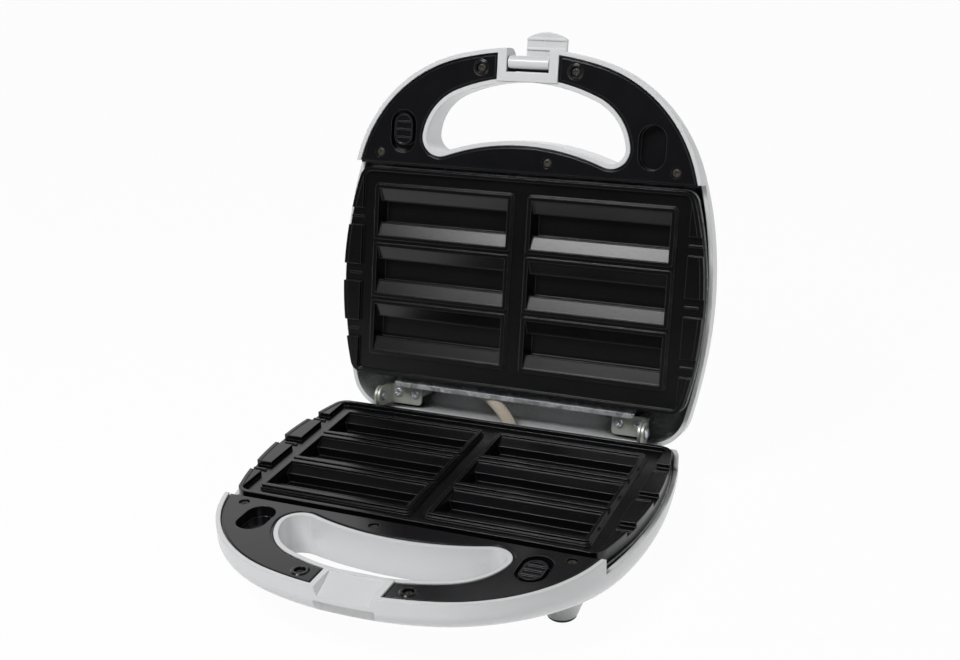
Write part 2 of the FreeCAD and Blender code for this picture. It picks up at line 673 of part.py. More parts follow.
def hole_outline(name, offset):
    """Kidney outline of the handle opening, grown outwards by an offset."""
    front_c = Vector(0, (d.hole_front_radius - d.hole_front).value, 0)
    rear_c = Vector(0, (d.hole_rear_radius - d.hole_rear).value, 0)
    end_x = d.hole_half - d.hole_end_radius
    stretch = (d.hole_rear_radius + d.hole_end_radius).value
    end_c = Vector(end_x.value, rear_c.y - math.sqrt(stretch ** 2 - end_x.value ** 2), 0)
    shoulder_c = circles_meet(front_c, (d.hole_front_radius - d.hole_shoulder_radius).value,
                              end_c, (d.hole_shoulder_radius - d.hole_end_radius).value, lambda p: -p.x)
    front_r, shoulder_r = d.hole_front_radius + offset, d.hole_shoulder_radius + offset
    end_r, rear_r = d.hole_end_radius + offset, d.hole_rear_radius - offset
    joint_a = reach(front_c, shoulder_c, front_r)
    joint_b = reach(shoulder_c, end_c, shoulder_r)
    joint_c = reach(rear_c, end_c, rear_r)
    loop = Loop(name)
    front = loop.arc(front_c, front_r, mirrored(joint_a), joint_a)
    loop.arc(shoulder_c, shoulder_r, joint_a, joint_b)
    right = loop.arc(end_c, end_r, joint_b, joint_c)
    rear = loop.arc(rear_c, rear_r, joint_c, mirrored(joint_c), turn=-1)
    left = loop.arc(mirrored(end_c), end_r, mirrored(joint_c), mirrored(joint_b))
    loop.arc(mirrored(shoulder_c), shoulder_r, mirrored(joint_b), mirrored(joint_a))
    sketch = loop.close()
    pin(sketch, front, 3, 0, d.hole_front_radius - d.hole_front)
    pin(sketch, rear, 3, 0, d.hole_rear_radius - d.hole_rear)
    for curve, side in ((right, 1), (left, -1)):
        order = (-1, 1, curve, 3) if side > 0 else (curve, 3, -1, 1)
        limit = sketch.addConstraint(Sketcher.Constraint("DistanceX", *order, end_x.value))
        sketch.setExpression(f"Constraints[{limit}]", end_x.text)
    return sketch


def plate_outline(name, offset):
    """Plate outline: straight front and rear, bowed sides and round corners."""
    side_c = Vector((d.plate_half - d.plate_side_radius).value, -d.plate_widest_v.value, 0)
    side_r, corner_r = d.plate_side_radius - offset, d.plate_corner - offset
    spread = (d.plate_side_radius - d.plate_corner).value

    def corner(edge, inwards):
        y = -edge.value + inwards * d.plate_corner.value
        return Vector(side_c.x + math.sqrt(spread ** 2 - (y - side_c.y) ** 2), y, 0)

    front_edge, rear_edge = d.plate_front - offset, d.plate_rear + offset
    front_c, rear_c = corner(d.plate_front, 1), corner(d.plate_rear, -1)
    front_foot = Vector(front_c.x, -front_edge.value, 0)
    rear_foot = Vector(rear_c.x, -rear_edge.value, 0)
    front_joint, rear_joint = reach(side_c, front_c, side_r), reach(side_c, rear_c, side_r)
    loop = Loop(name)
    front = loop.line(mirrored(front_foot), front_foot)
    loop.arc(front_c, corner_r, front_foot, front_joint)
    right = loop.arc(side_c, side_r, front_joint, rear_joint)
    loop.arc(rear_c, corner_r, rear_joint, rear_foot)
    rear = loop.line(rear_foot, mirrored(rear_foot))
    loop.arc(mirrored(rear_c), corner_r, mirrored(rear_foot), mirrored(rear_joint))
    left = loop.arc(mirrored(side_c), side_r, mirrored(rear_joint), mirrored(front_joint))
    loop.arc(mirrored(front_c), corner_r, mirrored(front_joint), mirrored(front_foot))
    sketch = loop.close()
    pin(sketch, right, 3, d.plate_half - d.plate_side_radius, -d.plate_widest_v)
    pin(sketch, left, 3, d.plate_side_radius - d.plate_half, -d.plate_widest_v)
    for line, edge in ((front, front_edge), (rear, rear_edge)):
        sketch.addConstraint(Sketcher.Constraint("Horizontal", line))
        limit = sketch.addConstraint(Sketcher.Constraint("DistanceY", line, 1, -1, 1, edge.value))
        sketch.setExpression(f"Constraints[{limit}]", edge.text)
    return sketch


def layer(name, sketch, w):
    """Pull an outline between two heights."""
    bind(sketch, "Placement.Base.z", w[0])
    return extrude(name, sketch, Vector(0, 0, 1), as_size(w[1]) - w[0])


# Moulded shells

def bowl(name, offset, rear, depth, rear_edge):
    """Solid form of a half, smaller all round by an offset, with its lower edge rounded."""
    outline = shell_outline(f"{name}_outline", offset, rear)
    block = layer(f"{name}_block", outline, (-depth - BEYOND, -d.handle_lip))
    profile = underside_profile(f"{name}_profile", offset, depth)
    side = extrude(f"{name}_side", profile, Vector(1, 0, 0), 8 * BEYOND, symmetric=True)
    form = common(f"{name}_form", block, side)
    right = box(f"{name}_right", (0, 4 * BEYOND), (-2 * BEYOND, d.front_reach + BEYOND),
                (-2 * BEYOND, BEYOND))
    half_form = common(f"{name}_half", form, right)
    shrink = as_size(offset).value
    bar_floor = shrink - d.bar_depth.value

    def radius_at_v(v):
        """Bar, body and rear have their own radius, and it changes smoothly between them."""
        bar, body, back = (size.value - shrink for size in (d.bar_edge, d.body_edge, as_size(rear_edge)))
        if v > d.slope_rear_v.value:
            share = min((v - d.slope_rear_v.value) / (d.slope_front_v - d.slope_rear_v).value, 1)
            return body + (bar - body) * share
        share = min((v + rear.value - shrink) / d.rear_corner_radius.value, 1)
        return back + (body - back) * share

    def low_edge(edge):
        """Whether an edge is part of the lower rim, which runs round from front to rear."""
        seam = edge.CenterOfMass.y < 1 - d.slope_rear_v.value and edge.BoundBox.YLength < TINY
        return not (seam or edge.BoundBox.XMax < TINY or edge.BoundBox.ZMax > bar_floor + TINY)

    def runs_rearwards(edge):
        """Whether an edge's own direction is from the front round to the rear."""
        first, last = (math.atan2(point.y + d.widest_v.value, point.x) for point in ends_of(edge))
        return last > first

    doc.recompute()
    rim = [edge for edge in half_form.Shape.Edges if low_edge(edge)]
    chain_way = runs_rearwards(rim[0])

    def radii(edge):
        """Radii at both ends, in the direction of the whole chain."""
        if not low_edge(edge):
            return None
        pair = [radius_at_v(-point.y) for point in ends_of(edge)]
        return pair if runs_rearwards(edge) == chain_way else pair[::-1]

    rounded = fillet(f"{name}_rounded", half_form, radii)
    mirror = doc.addObject("Part::Mirroring", f"{name}_mirror")
    mirror.Source = rounded
    mirror.Normal = Vector(1, 0, 0)
    return fuse(name, [rounded, mirror])


def cover_screw_places(side):
    """The five cover screws; the middle one is to one side."""
    return [(d.front_screw_u, d.front_screw_v), (-d.front_screw_u, d.front_screw_v),
            (d.corner_screw_u, d.corner_screw_v), (-d.corner_screw_u, d.corner_screw_v),
            (side * d.mid_screw_u, d.mid_screw_v)]


def stay_places():
    """The four screws that hold a heat shield."""
    return [(side * d.stay_u, v) for side in (1, -1) for v in (d.stay_rear_v, d.stay_front_v)]


def hinge_screw_places():
    """The four screws of a half's two hinge brackets."""
    return [(side * u, d.hinge_screw_v) for side in (1, -1) for u in (d.hinge_screw_a, d.hinge_screw_b)]


COVER_FLOOR = d.cover_top + d.cover_thick
MIDDLE_SCREW_SIDE = -1


def shell(name, rear, depth, rear_edge, hinge_post_deep):
    """A thin moulded half with a collar round the handle opening, a latch block and screw bosses."""
    outer = bowl(f"{name}_outer", as_size(0), rear, depth, rear_edge)
    inner = bowl(f"{name}_inner", d.wall, rear, depth, rear_edge)
    lowest = -depth - 1
    collar = layer(f"{name}_collar", hole_outline(f"{name}_collar_outline", d.collar),
                   (lowest, -d.cover_top))
    block = box(f"{name}_latch_block", (-d.cover_end, d.cover_end),
                (d.hole_front, d.front_reach + 1), (lowest, -d.handle_lip + 1))
    kept = [collar, block]
    for number, (u, v) in enumerate(cover_screw_places(MIDDLE_SCREW_SIDE)):
        kept.append(cylinder(f"{name}_cover_boss{number}", d.boss, u, v, (lowest, -COVER_FLOOR)))
    for number, (u, v) in enumerate(stay_places()):
        kept.append(cylinder(f"{name}_stay{number}", d.stay_radius, u, v, (lowest, -d.tray_deep)))
    for number, (u, v) in enumerate(hinge_screw_places()):
        kept.append(cylinder(f"{name}_hinge_post{number}", d.stay_radius, u, v,
                             (lowest, -hinge_post_deep - d.bracket)))
    hollow = cut(f"{name}_hollow", inner, kept)
    return cut(f"{name}_walls", outer, [hollow])


def pilot_holes(name, places, top, deep):
    """Holes for the screws' shanks in their bosses."""
    return [cylinder(f"{name}{number}", d.shank, u, v, (-as_size(deep), -as_size(top)))
            for number, (u, v) in enumerate(places)]


def shared_cuts(name, depth, hinge_post_deep):
    """What is cut from both shells: the handle opening and the screw holes."""
    opening = layer(f"{name}_opening", hole_outline(f"{name}_opening_outline", as_size(0)),
                    (-depth - BEYOND, 1))
    cuts = [opening]
    cuts += pilot_holes(f"{name}_cover_pilot", cover_screw_places(MIDDLE_SCREW_SIDE),
                        COVER_FLOOR, COVER_FLOOR + d.pilot)
    cuts += pilot_holes(f"{name}_stay_pilot", stay_places(), d.tray_deep, d.tray_deep + d.pilot)
    post_top = as_size(hinge_post_deep) + d.bracket
    cuts += pilot_holes(f"{name}_hinge_pilot", hinge_screw_places(), post_top, post_top + d.hinge_pilot)
    return cuts


def feet_places():
    return {"front_left": (-d.foot_u, d.foot_front_v), "front_right": (d.foot_u, d.foot_front_v),
            "rear_left": (-d.foot_u, d.foot_rear_v), "rear_right": (d.foot_u, d.foot_rear_v)}


FOOT_END = -(d.mate_z - d.pad_tall)
PLUG_TOP = FOOT_END + d.plug_tall


def latch_saddle():
    """Hollow in the base's bar: its floor falls from the handle opening to the front edge."""
    start, edge = d.hole_front + d.collar, d.front_reach
    fall = (d.saddle_deep - d.cover_top) / (edge - start)
    end = edge + BEYOND / 4
    floor = polygon("saddle_floor", [(start, -d.cover_top), (end, -d.saddle_deep - fall * BEYOND / 4),
                                     (end, BEYOND / 4), (start, BEYOND / 4)], SIDE_VIEW)
    run = extrude("saddle_run", floor, Vector(1, 0, 0), 4 * d.cover_end, symmetric=True)
    top_half = d.saddle_half + d.saddle_lean
    low = d.saddle_deep + 2
    section = polygon("saddle_section", [(-d.saddle_half, -low), (d.saddle_half, -low),
                                         (top_half, 1), (-top_half, 1)], FRONT_VIEW)
    bind(section, "Placement.Base.y", -(start - 1))
    return common("saddle", run, extrude("saddle_width", section, Vector(0, -1, 0), 2 * BEYOND))


def hook_pocket():
    """Pocket under the saddle's lip, open to the front and below, for the latch's hook."""
    mouth = d.pocket_half + d.pocket_flare
    front = d.front_reach + 3
    plan = polygon("hook_pocket_plan", [(-d.pocket_half, -d.hook_pocket), (-mouth, -front),
                                        (mouth, -front), (d.pocket_half, -d.hook_pocket)])
    return layer("hook_pocket", plan, (-BEYOND, -d.saddle_deep - d.lip_thick))


def base_shell():
    """Lower housing with its latch saddle, hook pocket and cord hole."""
    walls = shell("base_shell", d.base_rear, d.base_depth, d.base_rear_edge, d.base_foot_deep)
    cuts = shared_cuts("base_shell", d.base_depth, d.base_foot_deep)
    across = (-BEYOND * 4, BEYOND * 4)
    cuts.append(box("base_side_rim", across, (d.post_end, d.handle_start), (-d.side_lip, BEYOND)))
    cuts.append(box("base_post_rim", across, (-BEYOND, d.post_end + 1), (-d.post_lip, BEYOND)))
    cuts.append(box("base_rear_rim", across, (-BEYOND, d.post_rear), (-d.side_lip, BEYOND)))
    cuts += [latch_saddle(), hook_pocket()]
    gland_hole = doc.addObject("Part::Cylinder", "gland_hole")
    gland_hole.Placement = Placement(Vector(), Rotation(Vector(1, 0, 0), 90))
    bind(gland_hole, "Radius", d.gland_neck)
    bind(gland_hole, "Height", 4 * d.wall)
    put(gland_hole, d.gland_u, -(d.base_rear + d.wall), -d.gland_deep)
    cuts.append(gland_hole)
    return cut("base_shell", walls, cuts)


def base_feet():
    """Four feet that stand against the underside of the lower housing."""
    underside = group("feet_clearance", [doc.getObject("base_shell_outer")])
    bind(underside, "Placement.Base.z", -d.foot_gap)
    feet = []
    for place, (u, v) in feet_places().items():
        block = cone(f"foot_{place}_block", d.foot_radius, d.foot_root, u, v, (FOOT_END, -d.foot_top))
        body = cut(f"foot_{place}_body", block, [underside])
        socket = cylinder(f"foot_{place}_socket", d.plug_radius, u, v, (FOOT_END - 1, PLUG_TOP))
        feet.append(cut(f"foot_{place}", body, [socket]))
    return group("base_feet", feet)


def lid_shell():
    """Upper housing with its latch notch, pin hole and two lamp holes."""
    walls = shell("lid_shell", d.lid_rear, d.lid_depth, d.lid_rear_edge, d.lid_foot_deep)
    cuts = shared_cuts("lid_shell", d.lid_depth, d.lid_foot_deep)
    cuts.append(box("lid_side_rim", (-BEYOND * 4, BEYOND * 4), (-BEYOND, d.handle_start),
                    (-d.side_lip, BEYOND)))
    notch_rear = d.latch_v - d.leg_offset - d.leg_thick / 2 - d.notch_play
    cuts.append(box("latch_notch", (-d.notch_half, d.notch_half), (notch_rear, d.front_reach + 5),
                    (-BEYOND, 5)))
    hole_end = d.cover_end - d.pin_seat
    cuts.append(cross_cylinder("latch_pin_hole", d.latch_pin, (-hole_end, hole_end),
                               d.latch_v, -d.latch_deep))
    for side in (1, -1):
        cuts.append(cylinder(f"lens_hole{side}", d.lens_radius, side * d.lens_u, d.lens_v,
                             (-BEYOND * 1.5, d.wall * 2 - d.lid_depth)))
    return cut("lid_shell", walls, cuts)


# Handle covers

def cover_layer(name, inset, w):
    """One level of a cover, inset from the shell's wall, the handle opening and the latch block."""
    rim = d.wall + d.cover_gap + inset
    slab = layer(f"{name}_slab", shell_outline(f"{name}_outline", rim, d.base_rear), w)
    front = box(f"{name}_front", (-BEYOND * 4, BEYOND * 4), (d.cover_rear + inset, d.front_reach + 5),
                (-BEYOND, BEYOND))
    kidney = layer(f"{name}_kidney", hole_outline(f"{name}_kidney_outline", d.collar + d.cover_gap + inset),
                   (-BEYOND, BEYOND))
    end = d.cover_end + d.cover_gap + inset
    gap = box(f"{name}_gap", (-end, end), (d.hole_front - 5, d.front_reach + 5), (-BEYOND, BEYOND))
    return cut(name, common(f"{name}_sheet", slab, front), [kidney, gap])


def guide_boss(name):
    """Round-ended boss in its pocket, dished between a rim and cross ribs."""
    mid = d.guide_v + d.boss_shift
    top = -d.boss_top
    block = slot_block(f"{name}_block", d.boss_width, d.boss_length, d.guide_u, mid, (-d.pocket_deep, top))
    dish = slot_block(f"{name}_hollow", d.boss_width - 2 * d.boss_rim, d.boss_length - 2 * d.boss_rim,
                      d.guide_u, mid, (top - d.boss_dish, 1))
    reach = d.boss_width / 2 - d.rib_inset
    ribs = []
    for place in (-1, 0, 1):
        middle = mid + place * d.boss_length / 4
        ribs.append(box(f"{name}_rib{place}", (d.guide_u - reach, d.guide_u + reach),
                        (middle - d.boss_rim / 2, middle + d.boss_rim / 2),
                        (top - d.boss_dish - d.rib_root, top)))
    return fuse(name, [cut(f"{name}_dished", block, [dish])] + ribs)


def handle_cover(name):
    """Flat cover with a lower border, a guide boss, a guide pocket and ringed screw wells."""
    face = -d.cover_top
    border = face - d.cover_step
    added = [cover_layer(f"{name}_low", as_size(0), (-COVER_FLOOR, border)),
             cover_layer(f"{name}_high", d.cover_border, (border - 1, face))]
    cup_floor = d.pocket_deep + d.cover_thick / 2
    for side in (1, -1):
        added.append(slot_block(f"{name}_cup{side}", d.pocket_width + 2 * d.cup_wall,
                                d.pocket_length + 2 * d.cup_wall, side * d.guide_u, d.guide_v,
                                (-cup_floor, border - d.cup_lap)))
        ring_u = side * d.front_screw_u
        added.append(cylinder(f"{name}_ring_root{side}", d.screw_ring, ring_u, d.front_screw_v,
                              (-COVER_FLOOR, face)))
        added.append(cone(f"{name}_ring{side}", d.screw_ring, d.ring_top, ring_u, d.front_screw_v,
                          (face, face + d.ring_rise)))
    cuts = []
    for side in (1, -1):
        cuts.append(slot_block(f"{name}_pocket{side}", d.pocket_width, d.pocket_length,
                               side * d.guide_u, d.guide_v, (-d.pocket_deep, 1)))
    for number, (u, v) in enumerate(cover_screw_places(MIDDLE_SCREW_SIDE)):
        cuts.append(cylinder(f"{name}_seat{number}", d.cover_well, u, v, (face - d.well_deep, 1)))
        cuts.append(cylinder(f"{name}_hole{number}", d.clear_hole, u, v, (-BEYOND, 1)))
    pierced = cut(f"{name}_pierced", fuse(f"{name}_solid", added), cuts)
    return fuse(name, [pierced, guide_boss(f"{name}_boss")])


# Cooking plates

def cell_places():
    """Middle of each cavity: two columns of three."""
    return [(side * d.cell_u, d.cell_mid + row * d.cell_pitch) for side in (1, -1) for row in (1, 0, -1)]


def cavity(name, u, v, grow, lowest):
    """Long trough with sloping sides, a ledge above the floor and leaning end walls."""
    half = d.cell_width / 2 - d.bead_width + grow
    drop = d.ledge_deep + grow
    points = [(v - half, 1), (v - half, -d.slope_deep), (v - d.ledge_half - grow, -drop),
              (v - d.floor_half - grow, -drop), (v - d.floor_half - grow, -lowest),
              (v + d.floor_half + grow, -lowest), (v + d.floor_half + grow, -drop),
              (v + d.ledge_half + grow, -drop), (v + half, -d.slope_deep), (v + half, 1)]
    section = polygon(f"{name}_section", points, SIDE_VIEW)
    long_half = d.cell_length / 2 - d.bead_width + grow
    bind(section, "Placement.Base.x", u)
    run = extrude(f"{name}_run", section, Vector(1, 0, 0), 2 * long_half + 2, symmetric=True)
    ends = polygon(f"{name}_ends", [(u - long_half, 2), (u + long_half, 2), (u + long_half, -d.slope_deep),
                                    (u + long_half - d.end_draft, -lowest - 1),
                                    (u - long_half + d.end_draft, -lowest - 1),
                                    (u - long_half, -d.slope_deep)], FRONT_VIEW)
    bind(ends, "Placement.Base.y", -(v - d.cell_pitch))
    wedge = extrude(f"{name}_wedge", ends, Vector(0, -1, 0), 2 * d.cell_pitch)
    return common(name, run, wedge)


def plate_rim(name):
    """Thin rim round the plate and raised blocks along both wings, parted by steam channels."""
    foot = -d.panel_top - 1
    across = (-BEYOND * 4, BEYOND * 4)
    rim = cut(f"{name}_edge", layer(f"{name}_edge_block", plate_outline(f"{name}_edge_outline", as_size(0)),
                                    (foot, -d.edge_top)),
              [layer(f"{name}_edge_inside", plate_outline(f"{name}_edge_inner", d.edge_width), (foot, 1))])
    blocks = cut(f"{name}_blocks", layer(f"{name}_wing", plate_outline(f"{name}_wing_outline", as_size(0)),
                                         (foot, -d.rim_top)),
                 [box(f"{name}_wing_inside", (-d.rim_inner, d.rim_inner), (0, d.plate_front + 5), across)])
    channels = []
    ridges = []
    for step in (1, 0, -1):
        middle = d.channel_mid + step * d.channel_pitch
        reach_v = (middle - d.channel_width / 2, middle + d.channel_width / 2)
        channels.append(box(f"{name}_channel{step}", across, reach_v, (-d.panel_top, BEYOND)))
        for side in (1, -1):
            ends = (side * d.rim_inner, side * (d.rim_inner + d.ridge_length))[::side]
            ridges.append(box(f"{name}_ridge{step}{side}", ends,
                              (middle - d.ridge_width / 2, middle + d.ridge_width / 2),
                              (foot, d.ridge_rise - d.panel_top)))
    parted = cut(f"{name}_rim", fuse(f"{name}_rim_whole", [rim, blocks]), channels)
    return [parted] + ridges


def plate_screw_places():
    """The two screws under the plate's middle rib."""
    return [(as_size(0), d.cell_mid + side * d.cell_pitch) for side in (1, -1)]


def cell_columns(name):
    """The step that carries the rim beads of each column of three cavities."""
    half_u = d.cell_length / 2 + d.step_out
    half_v = d.cell_width / 2 + d.cell_pitch + d.step_out
    return [rounded_box(f"{name}_step{side}", (side * d.cell_u - half_u, side * d.cell_u + half_u),
                        (d.cell_mid - half_v, d.cell_mid + half_v), (-d.panel_top - 1, -d.step_top),
                        d.bead_corner + d.step_out) for side in (1, -1)]


def trough(name, u, v):
    """The casting below the panel around one cavity."""
    form = cavity(f"{name}_form", u, v, d.trough_wall, d.cavity_deep + d.trough_wall)
    below = box(f"{name}_limit", (-BEYOND * 4, BEYOND * 4), (0, d.plate_front + 5), (-BEYOND, -d.panel_top))
    return common(name, form, below)


def cooking_plate(name):
    """Cast plate: panel, skirt, six troughs with rim beads, and raised blocks on the wings."""
    panel = layer(f"{name}_panel", plate_outline(f"{name}_panel_outline", as_size(0)),
                  (-d.skirt_deep, -d.panel_top))
    under = layer(f"{name}_under", plate_outline(f"{name}_under_outline", d.skirt_thick),
                  (-d.skirt_deep - 1, -d.panel_top - d.panel_thick))
    added = [cut(f"{name}_pan", panel, [under])] + plate_rim(name) + cell_columns(name)
    hollows = []
    half_u, half_v = d.cell_length / 2, d.cell_width / 2
    for number, (u, v) in enumerate(cell_places()):
        added.append(trough(f"{name}_trough{number}", u, v))
        added.append(rounded_box(f"{name}_bead{number}", (u - half_u, u + half_u), (v - half_v, v + half_v),
                                 (-d.panel_top - 1, -d.bead_top), d.bead_corner))
        side = 1 if u.value > 0 else -1
        added.append(cylinder(f"{name}_vent{number}", d.vent_radius, u + side * half_u, v,
                              (-d.panel_top - 1, -d.bead_top - d.vent_drop)))
        hollows.append(cavity(f"{name}_cavity{number}", u, v, as_size(0), d.cavity_deep))
    for number, (u, v) in enumerate(plate_screw_places()):
        added.append(cylinder(f"{name}_stud{number}", d.boss, u, v,
                              (d.sheet - d.tray_deep, -d.panel_top - 1)))
        hollows.append(cylinder(f"{name}_thread{number}", d.shank, u, v,
                                (-d.tray_deep - 1, d.sheet - d.tray_deep + d.pilot)))
    return cut(name, fuse(f"{name}_solid", added), hollows)


# Heating

def heating_element(name):
    """Bent heating tube that lies in the valleys between the troughs, with its two cold pins."""
    deep = d.panel_top + d.panel_thick + d.tube_radius
    bend_start = d.bend_radius - d.bend_u
    runs = []
    pins = []
    for side in (1, -1):
        v = d.cell_mid + side * d.cell_pitch / 2
        runs.append(cross_cylinder(f"{name}_leg{side}", d.tube_radius,
                                   (bend_start, d.tube_end_u), v, -deep))
        pins.append(cross_cylinder(f"{name}_pin{side}", d.pin_radius,
                                   (d.tube_end_u, d.tube_end_u + d.pin_length), v, -deep))
        bend = doc.addObject("Part::Torus", f"{name}_bend{side}")
        bend.Placement = Placement(Vector(), Rotation(Vector(0, 0, 1), 180 if side > 0 else 90))
        bind(bend, "Radius1", d.bend_radius)
        bind(bend, "Radius2", d.tube_radius)
        bend.Angle3 = 90
        runs.append(put(bend, bend_start, v - side * d.bend_radius, -deep))
    cross_half = d.cell_pitch / 2 - d.bend_radius
    cross = doc.addObject("Part::Cylinder", f"{name}_cross")
    cross.Placement = Placement(Vector(), Rotation(Vector(1, 0, 0), 90))
    bind(cross, "Radius", d.tube_radius)
    bind(cross, "Height", 2 * cross_half)
    runs.append(put(cross, -d.bend_u, d.cell_mid - cross_half, -deep))
    return fuse(name, runs + pins)


def heat_shield(name):
    """Folded galvanised tray with a flange under the plate's skirt and a strip along the rear."""
    rim_top = -d.skirt_deep
    flange = layer(f"{name}_flange", plate_outline(f"{name}_flange_outline", -d.flange_out),
                   (rim_top - d.sheet, rim_top))
    tray = rounded_box(f"{name}_tray", (-d.tray_half, d.tray_half), (d.tray_rear, d.tray_front),
                       (-d.tray_deep, rim_top), d.tray_corner)
    inside = rounded_box(f"{name}_inside", (d.sheet - d.tray_half, d.tray_half - d.sheet),
                         (d.tray_rear + d.sheet, d.tray_front - d.sheet),
                         (d.sheet - d.tray_deep, 1), d.tray_corner - d.sheet)
    edge = d.plate_rear - d.flange_out
    lap, under = edge + d.strip_lap, -d.strip_top - d.sheet
    profile = polygon(f"{name}_strip_profile", [
        (lap, rim_top - d.sheet), (edge - d.sheet, rim_top - d.sheet), (d.strip_fold - d.fold_under, under),
        (d.strip_rear, under), (d.strip_rear, -d.strip_top), (d.strip_fold, -d.strip_top),
        (edge - d.fold_over, rim_top), (lap, rim_top)], SIDE_VIEW)
    folded = extrude(f"{name}_strip_folded", profile, Vector(1, 0, 0), 2 * d.strip_half, symmetric=True)
    limits = rounded_box(f"{name}_strip_limits", (-d.strip_half, d.strip_half), (d.strip_rear, d.tray_rear),
                         (-d.tray_deep, 0), d.sheet_corner)
    strip = common(f"{name}_strip", folded, limits)
    holes = [cylinder(f"{name}_hole{number}", d.clear_hole, u, v, (-BEYOND, 1))
             for number, (u, v) in enumerate(stay_places() + plate_screw_places())]
    joined = fuse(f"{name}_joined", [flange, tray, strip])
    return cut(name, joined, [inside] + holes)


# Hinges

def ear(name, x, foot_w, rear, front):
    """Upright ear with a round end about the hinge axis."""
    disc = cross_cylinder(f"{name}_disc", d.ear_radius, x, 0, 0)
    neck = -d.ear_radius - d.ear_slope
    leg = polygon(f"{name}_leg_profile", [(-d.ear_radius, 0), (rear, neck), (rear, foot_w), (front, foot_w),
                                          (front, neck), (d.ear_radius, 0)], SIDE_VIEW)
    bind(leg, "Placement.Base.x", x[0])
    return [disc, extrude(f"{name}_leg", leg, Vector(1, 0, 0), as_size(x[1]) - x[0])]


def hinge_bracket(name, side, ear_inner, foot_deep, bore, rear, front):
    """Bent bracket: a foot with two screw holes and an ear that carries the rivet."""
    outer = ear_inner + d.bracket
    x = (ear_inner, outer) if side > 0 else (-outer, -ear_inner)
    foot_x = (d.bracket_inner, outer) if side > 0 else (-outer, -d.bracket_inner)
    foot = rounded_box(f"{name}_foot", foot_x, (-rear, front), (-foot_deep - d.bracket, -foot_deep),
                       d.sheet_corner)
    solid = fuse(f"{name}_solid", [foot] + ear(name, x, -foot_deep - d.bracket, -rear, front))
    holes = [cylinder(f"{name}_hole{number}", d.clear_hole, side * u, d.hinge_screw_v, (-BEYOND, 0))
             for number, u in enumerate((d.hinge_screw_a, d.hinge_screw_b))]
    holes.append(cross_cylinder(f"{name}_bore", bore, (x[0] - 1, x[1] + 1), 0, 0))
    return cut(name, solid, holes)


def hinge_rivet(name, side):
    """Rivet with a domed head outside the base's ear and a peened end inside the lid's ear."""
    head_u = d.base_ear_u + d.bracket
    end_u = d.lid_ear_u - d.rivet_play
    body = doc.addObject("PartDesign::Body", name)
    sketch = body.newObject("Sketcher::SketchObject", f"{name}_profile")
    plane = [item for item in body.Origin.OriginFeatures if item.Role == "XZ_Plane"][0]
    sketch.AttachmentSupport = [(plane, "")]
    sketch.MapMode = "FlatFace"
    peen_u, peen = end_u - d.peen_tall, d.rivet + d.peen_rise
    points = [(peen_u, 0), (peen_u, d.rivet + d.peen_face), (end_u - d.peen_edge, peen), (end_u, peen),
              (end_u, d.rivet), (head_u, d.rivet), (head_u, d.rivet_head),
              (head_u + d.dome_edge, d.rivet_head),
              (head_u + d.dome_bevel, d.rivet_head - d.dome_bevel), (head_u + d.dome_tall, 0)]
    count = len(points)
    corners = [Vector(side * a.value, as_size(b).value, 0) for a, b in points]
    for number, corner in enumerate(corners):
        sketch.addGeometry(Part.LineSegment(corner, corners[(number + 1) % count]), False)
    for number, (across, along) in enumerate(points):
        sketch.addConstraint(Sketcher.Constraint("Coincident", number, 2, (number + 1) % count, 1))
        pin(sketch, number, 1, side * across, along)
    turned = body.newObject("PartDesign::Revolution", f"{name}_turned")
    turned.Profile = sketch
    turned.ReferenceAxis = (sketch, ["H_Axis"])
    turned.Angle = 360
    return body


# Fasteners and small pieces

def screws(name, places, seat, length, head=None):
    """Pan-head screws that stand on a seat height and point down, or up where length is negative."""
    items = []
    head = head or d.head
    if as_size(length).value > 0:
        head_w, shank_w = (seat, seat + d.head_tall), (seat - length, seat)
    else:
        head_w, shank_w = (seat - d.head_tall, seat), (seat, seat - length)
    for number, (u, v) in enumerate(places):
        items.append(fuse(f"{name}_{number}", [cylinder(f"{name}_head{number}", head, u, v, head_w),
                                               cylinder(f"{name}_shank{number}", d.shank, u, v, shank_w)]))
    return group(name, items)


def turned_piece(name, points, x, v):
    """A round piece about an upright axis, from its half profile of radius and height."""
    sketch = polygon(f"{name}_profile", points, FRONT_VIEW)
    item = doc.addObject("Part::Revolution", name)
    item.Source = sketch
    item.Axis = Vector(0, 0, 1)
    item.Angle = 360
    item.Solid = True
    return put(item, x, v, 0)


def foot_pad(place, u, v):
    """Rubber pad with a plug that sits in the foot."""
    low = -d.mate_z
    points = [(0, low), (d.pad_radius - d.pad_edge, low), (d.pad_radius, low + d.pad_edge),
              (d.pad_radius, FOOT_END), (d.plug_radius, FOOT_END), (d.plug_radius, PLUG_TOP), (0, PLUG_TOP)]
    return turned_piece(f"foot_pad_{place}", points, u, v)


def cord_gland():
    """Flanged bush in the rear wall for the mains lead."""
    inner, outer = d.wall - d.base_rear, -d.base_rear
    first, last = inner + d.gland_inner, outer - d.gland_outer
    points = [(d.gland_bore, first), (d.gland_flange, first), (d.gland_flange, inner),
              (d.gland_neck, inner), (d.gland_neck, outer), (d.gland_flange, outer),
              (d.gland_flange - d.gland_taper, last), (d.gland_bore, last)]
    sketch = polygon("cord_gland_profile", points)
    item = doc.addObject("Part::Revolution", "cord_gland")
    item.Source = sketch
    item.Axis = Vector(0, 1, 0)
    item.Angle = 360
    item.Solid = True
    item.Placement = Placement(Vector(), Rotation(Vector(1, 0, 0), 180))
    return put(item, d.gland_u, 0, -d.gland_deep)


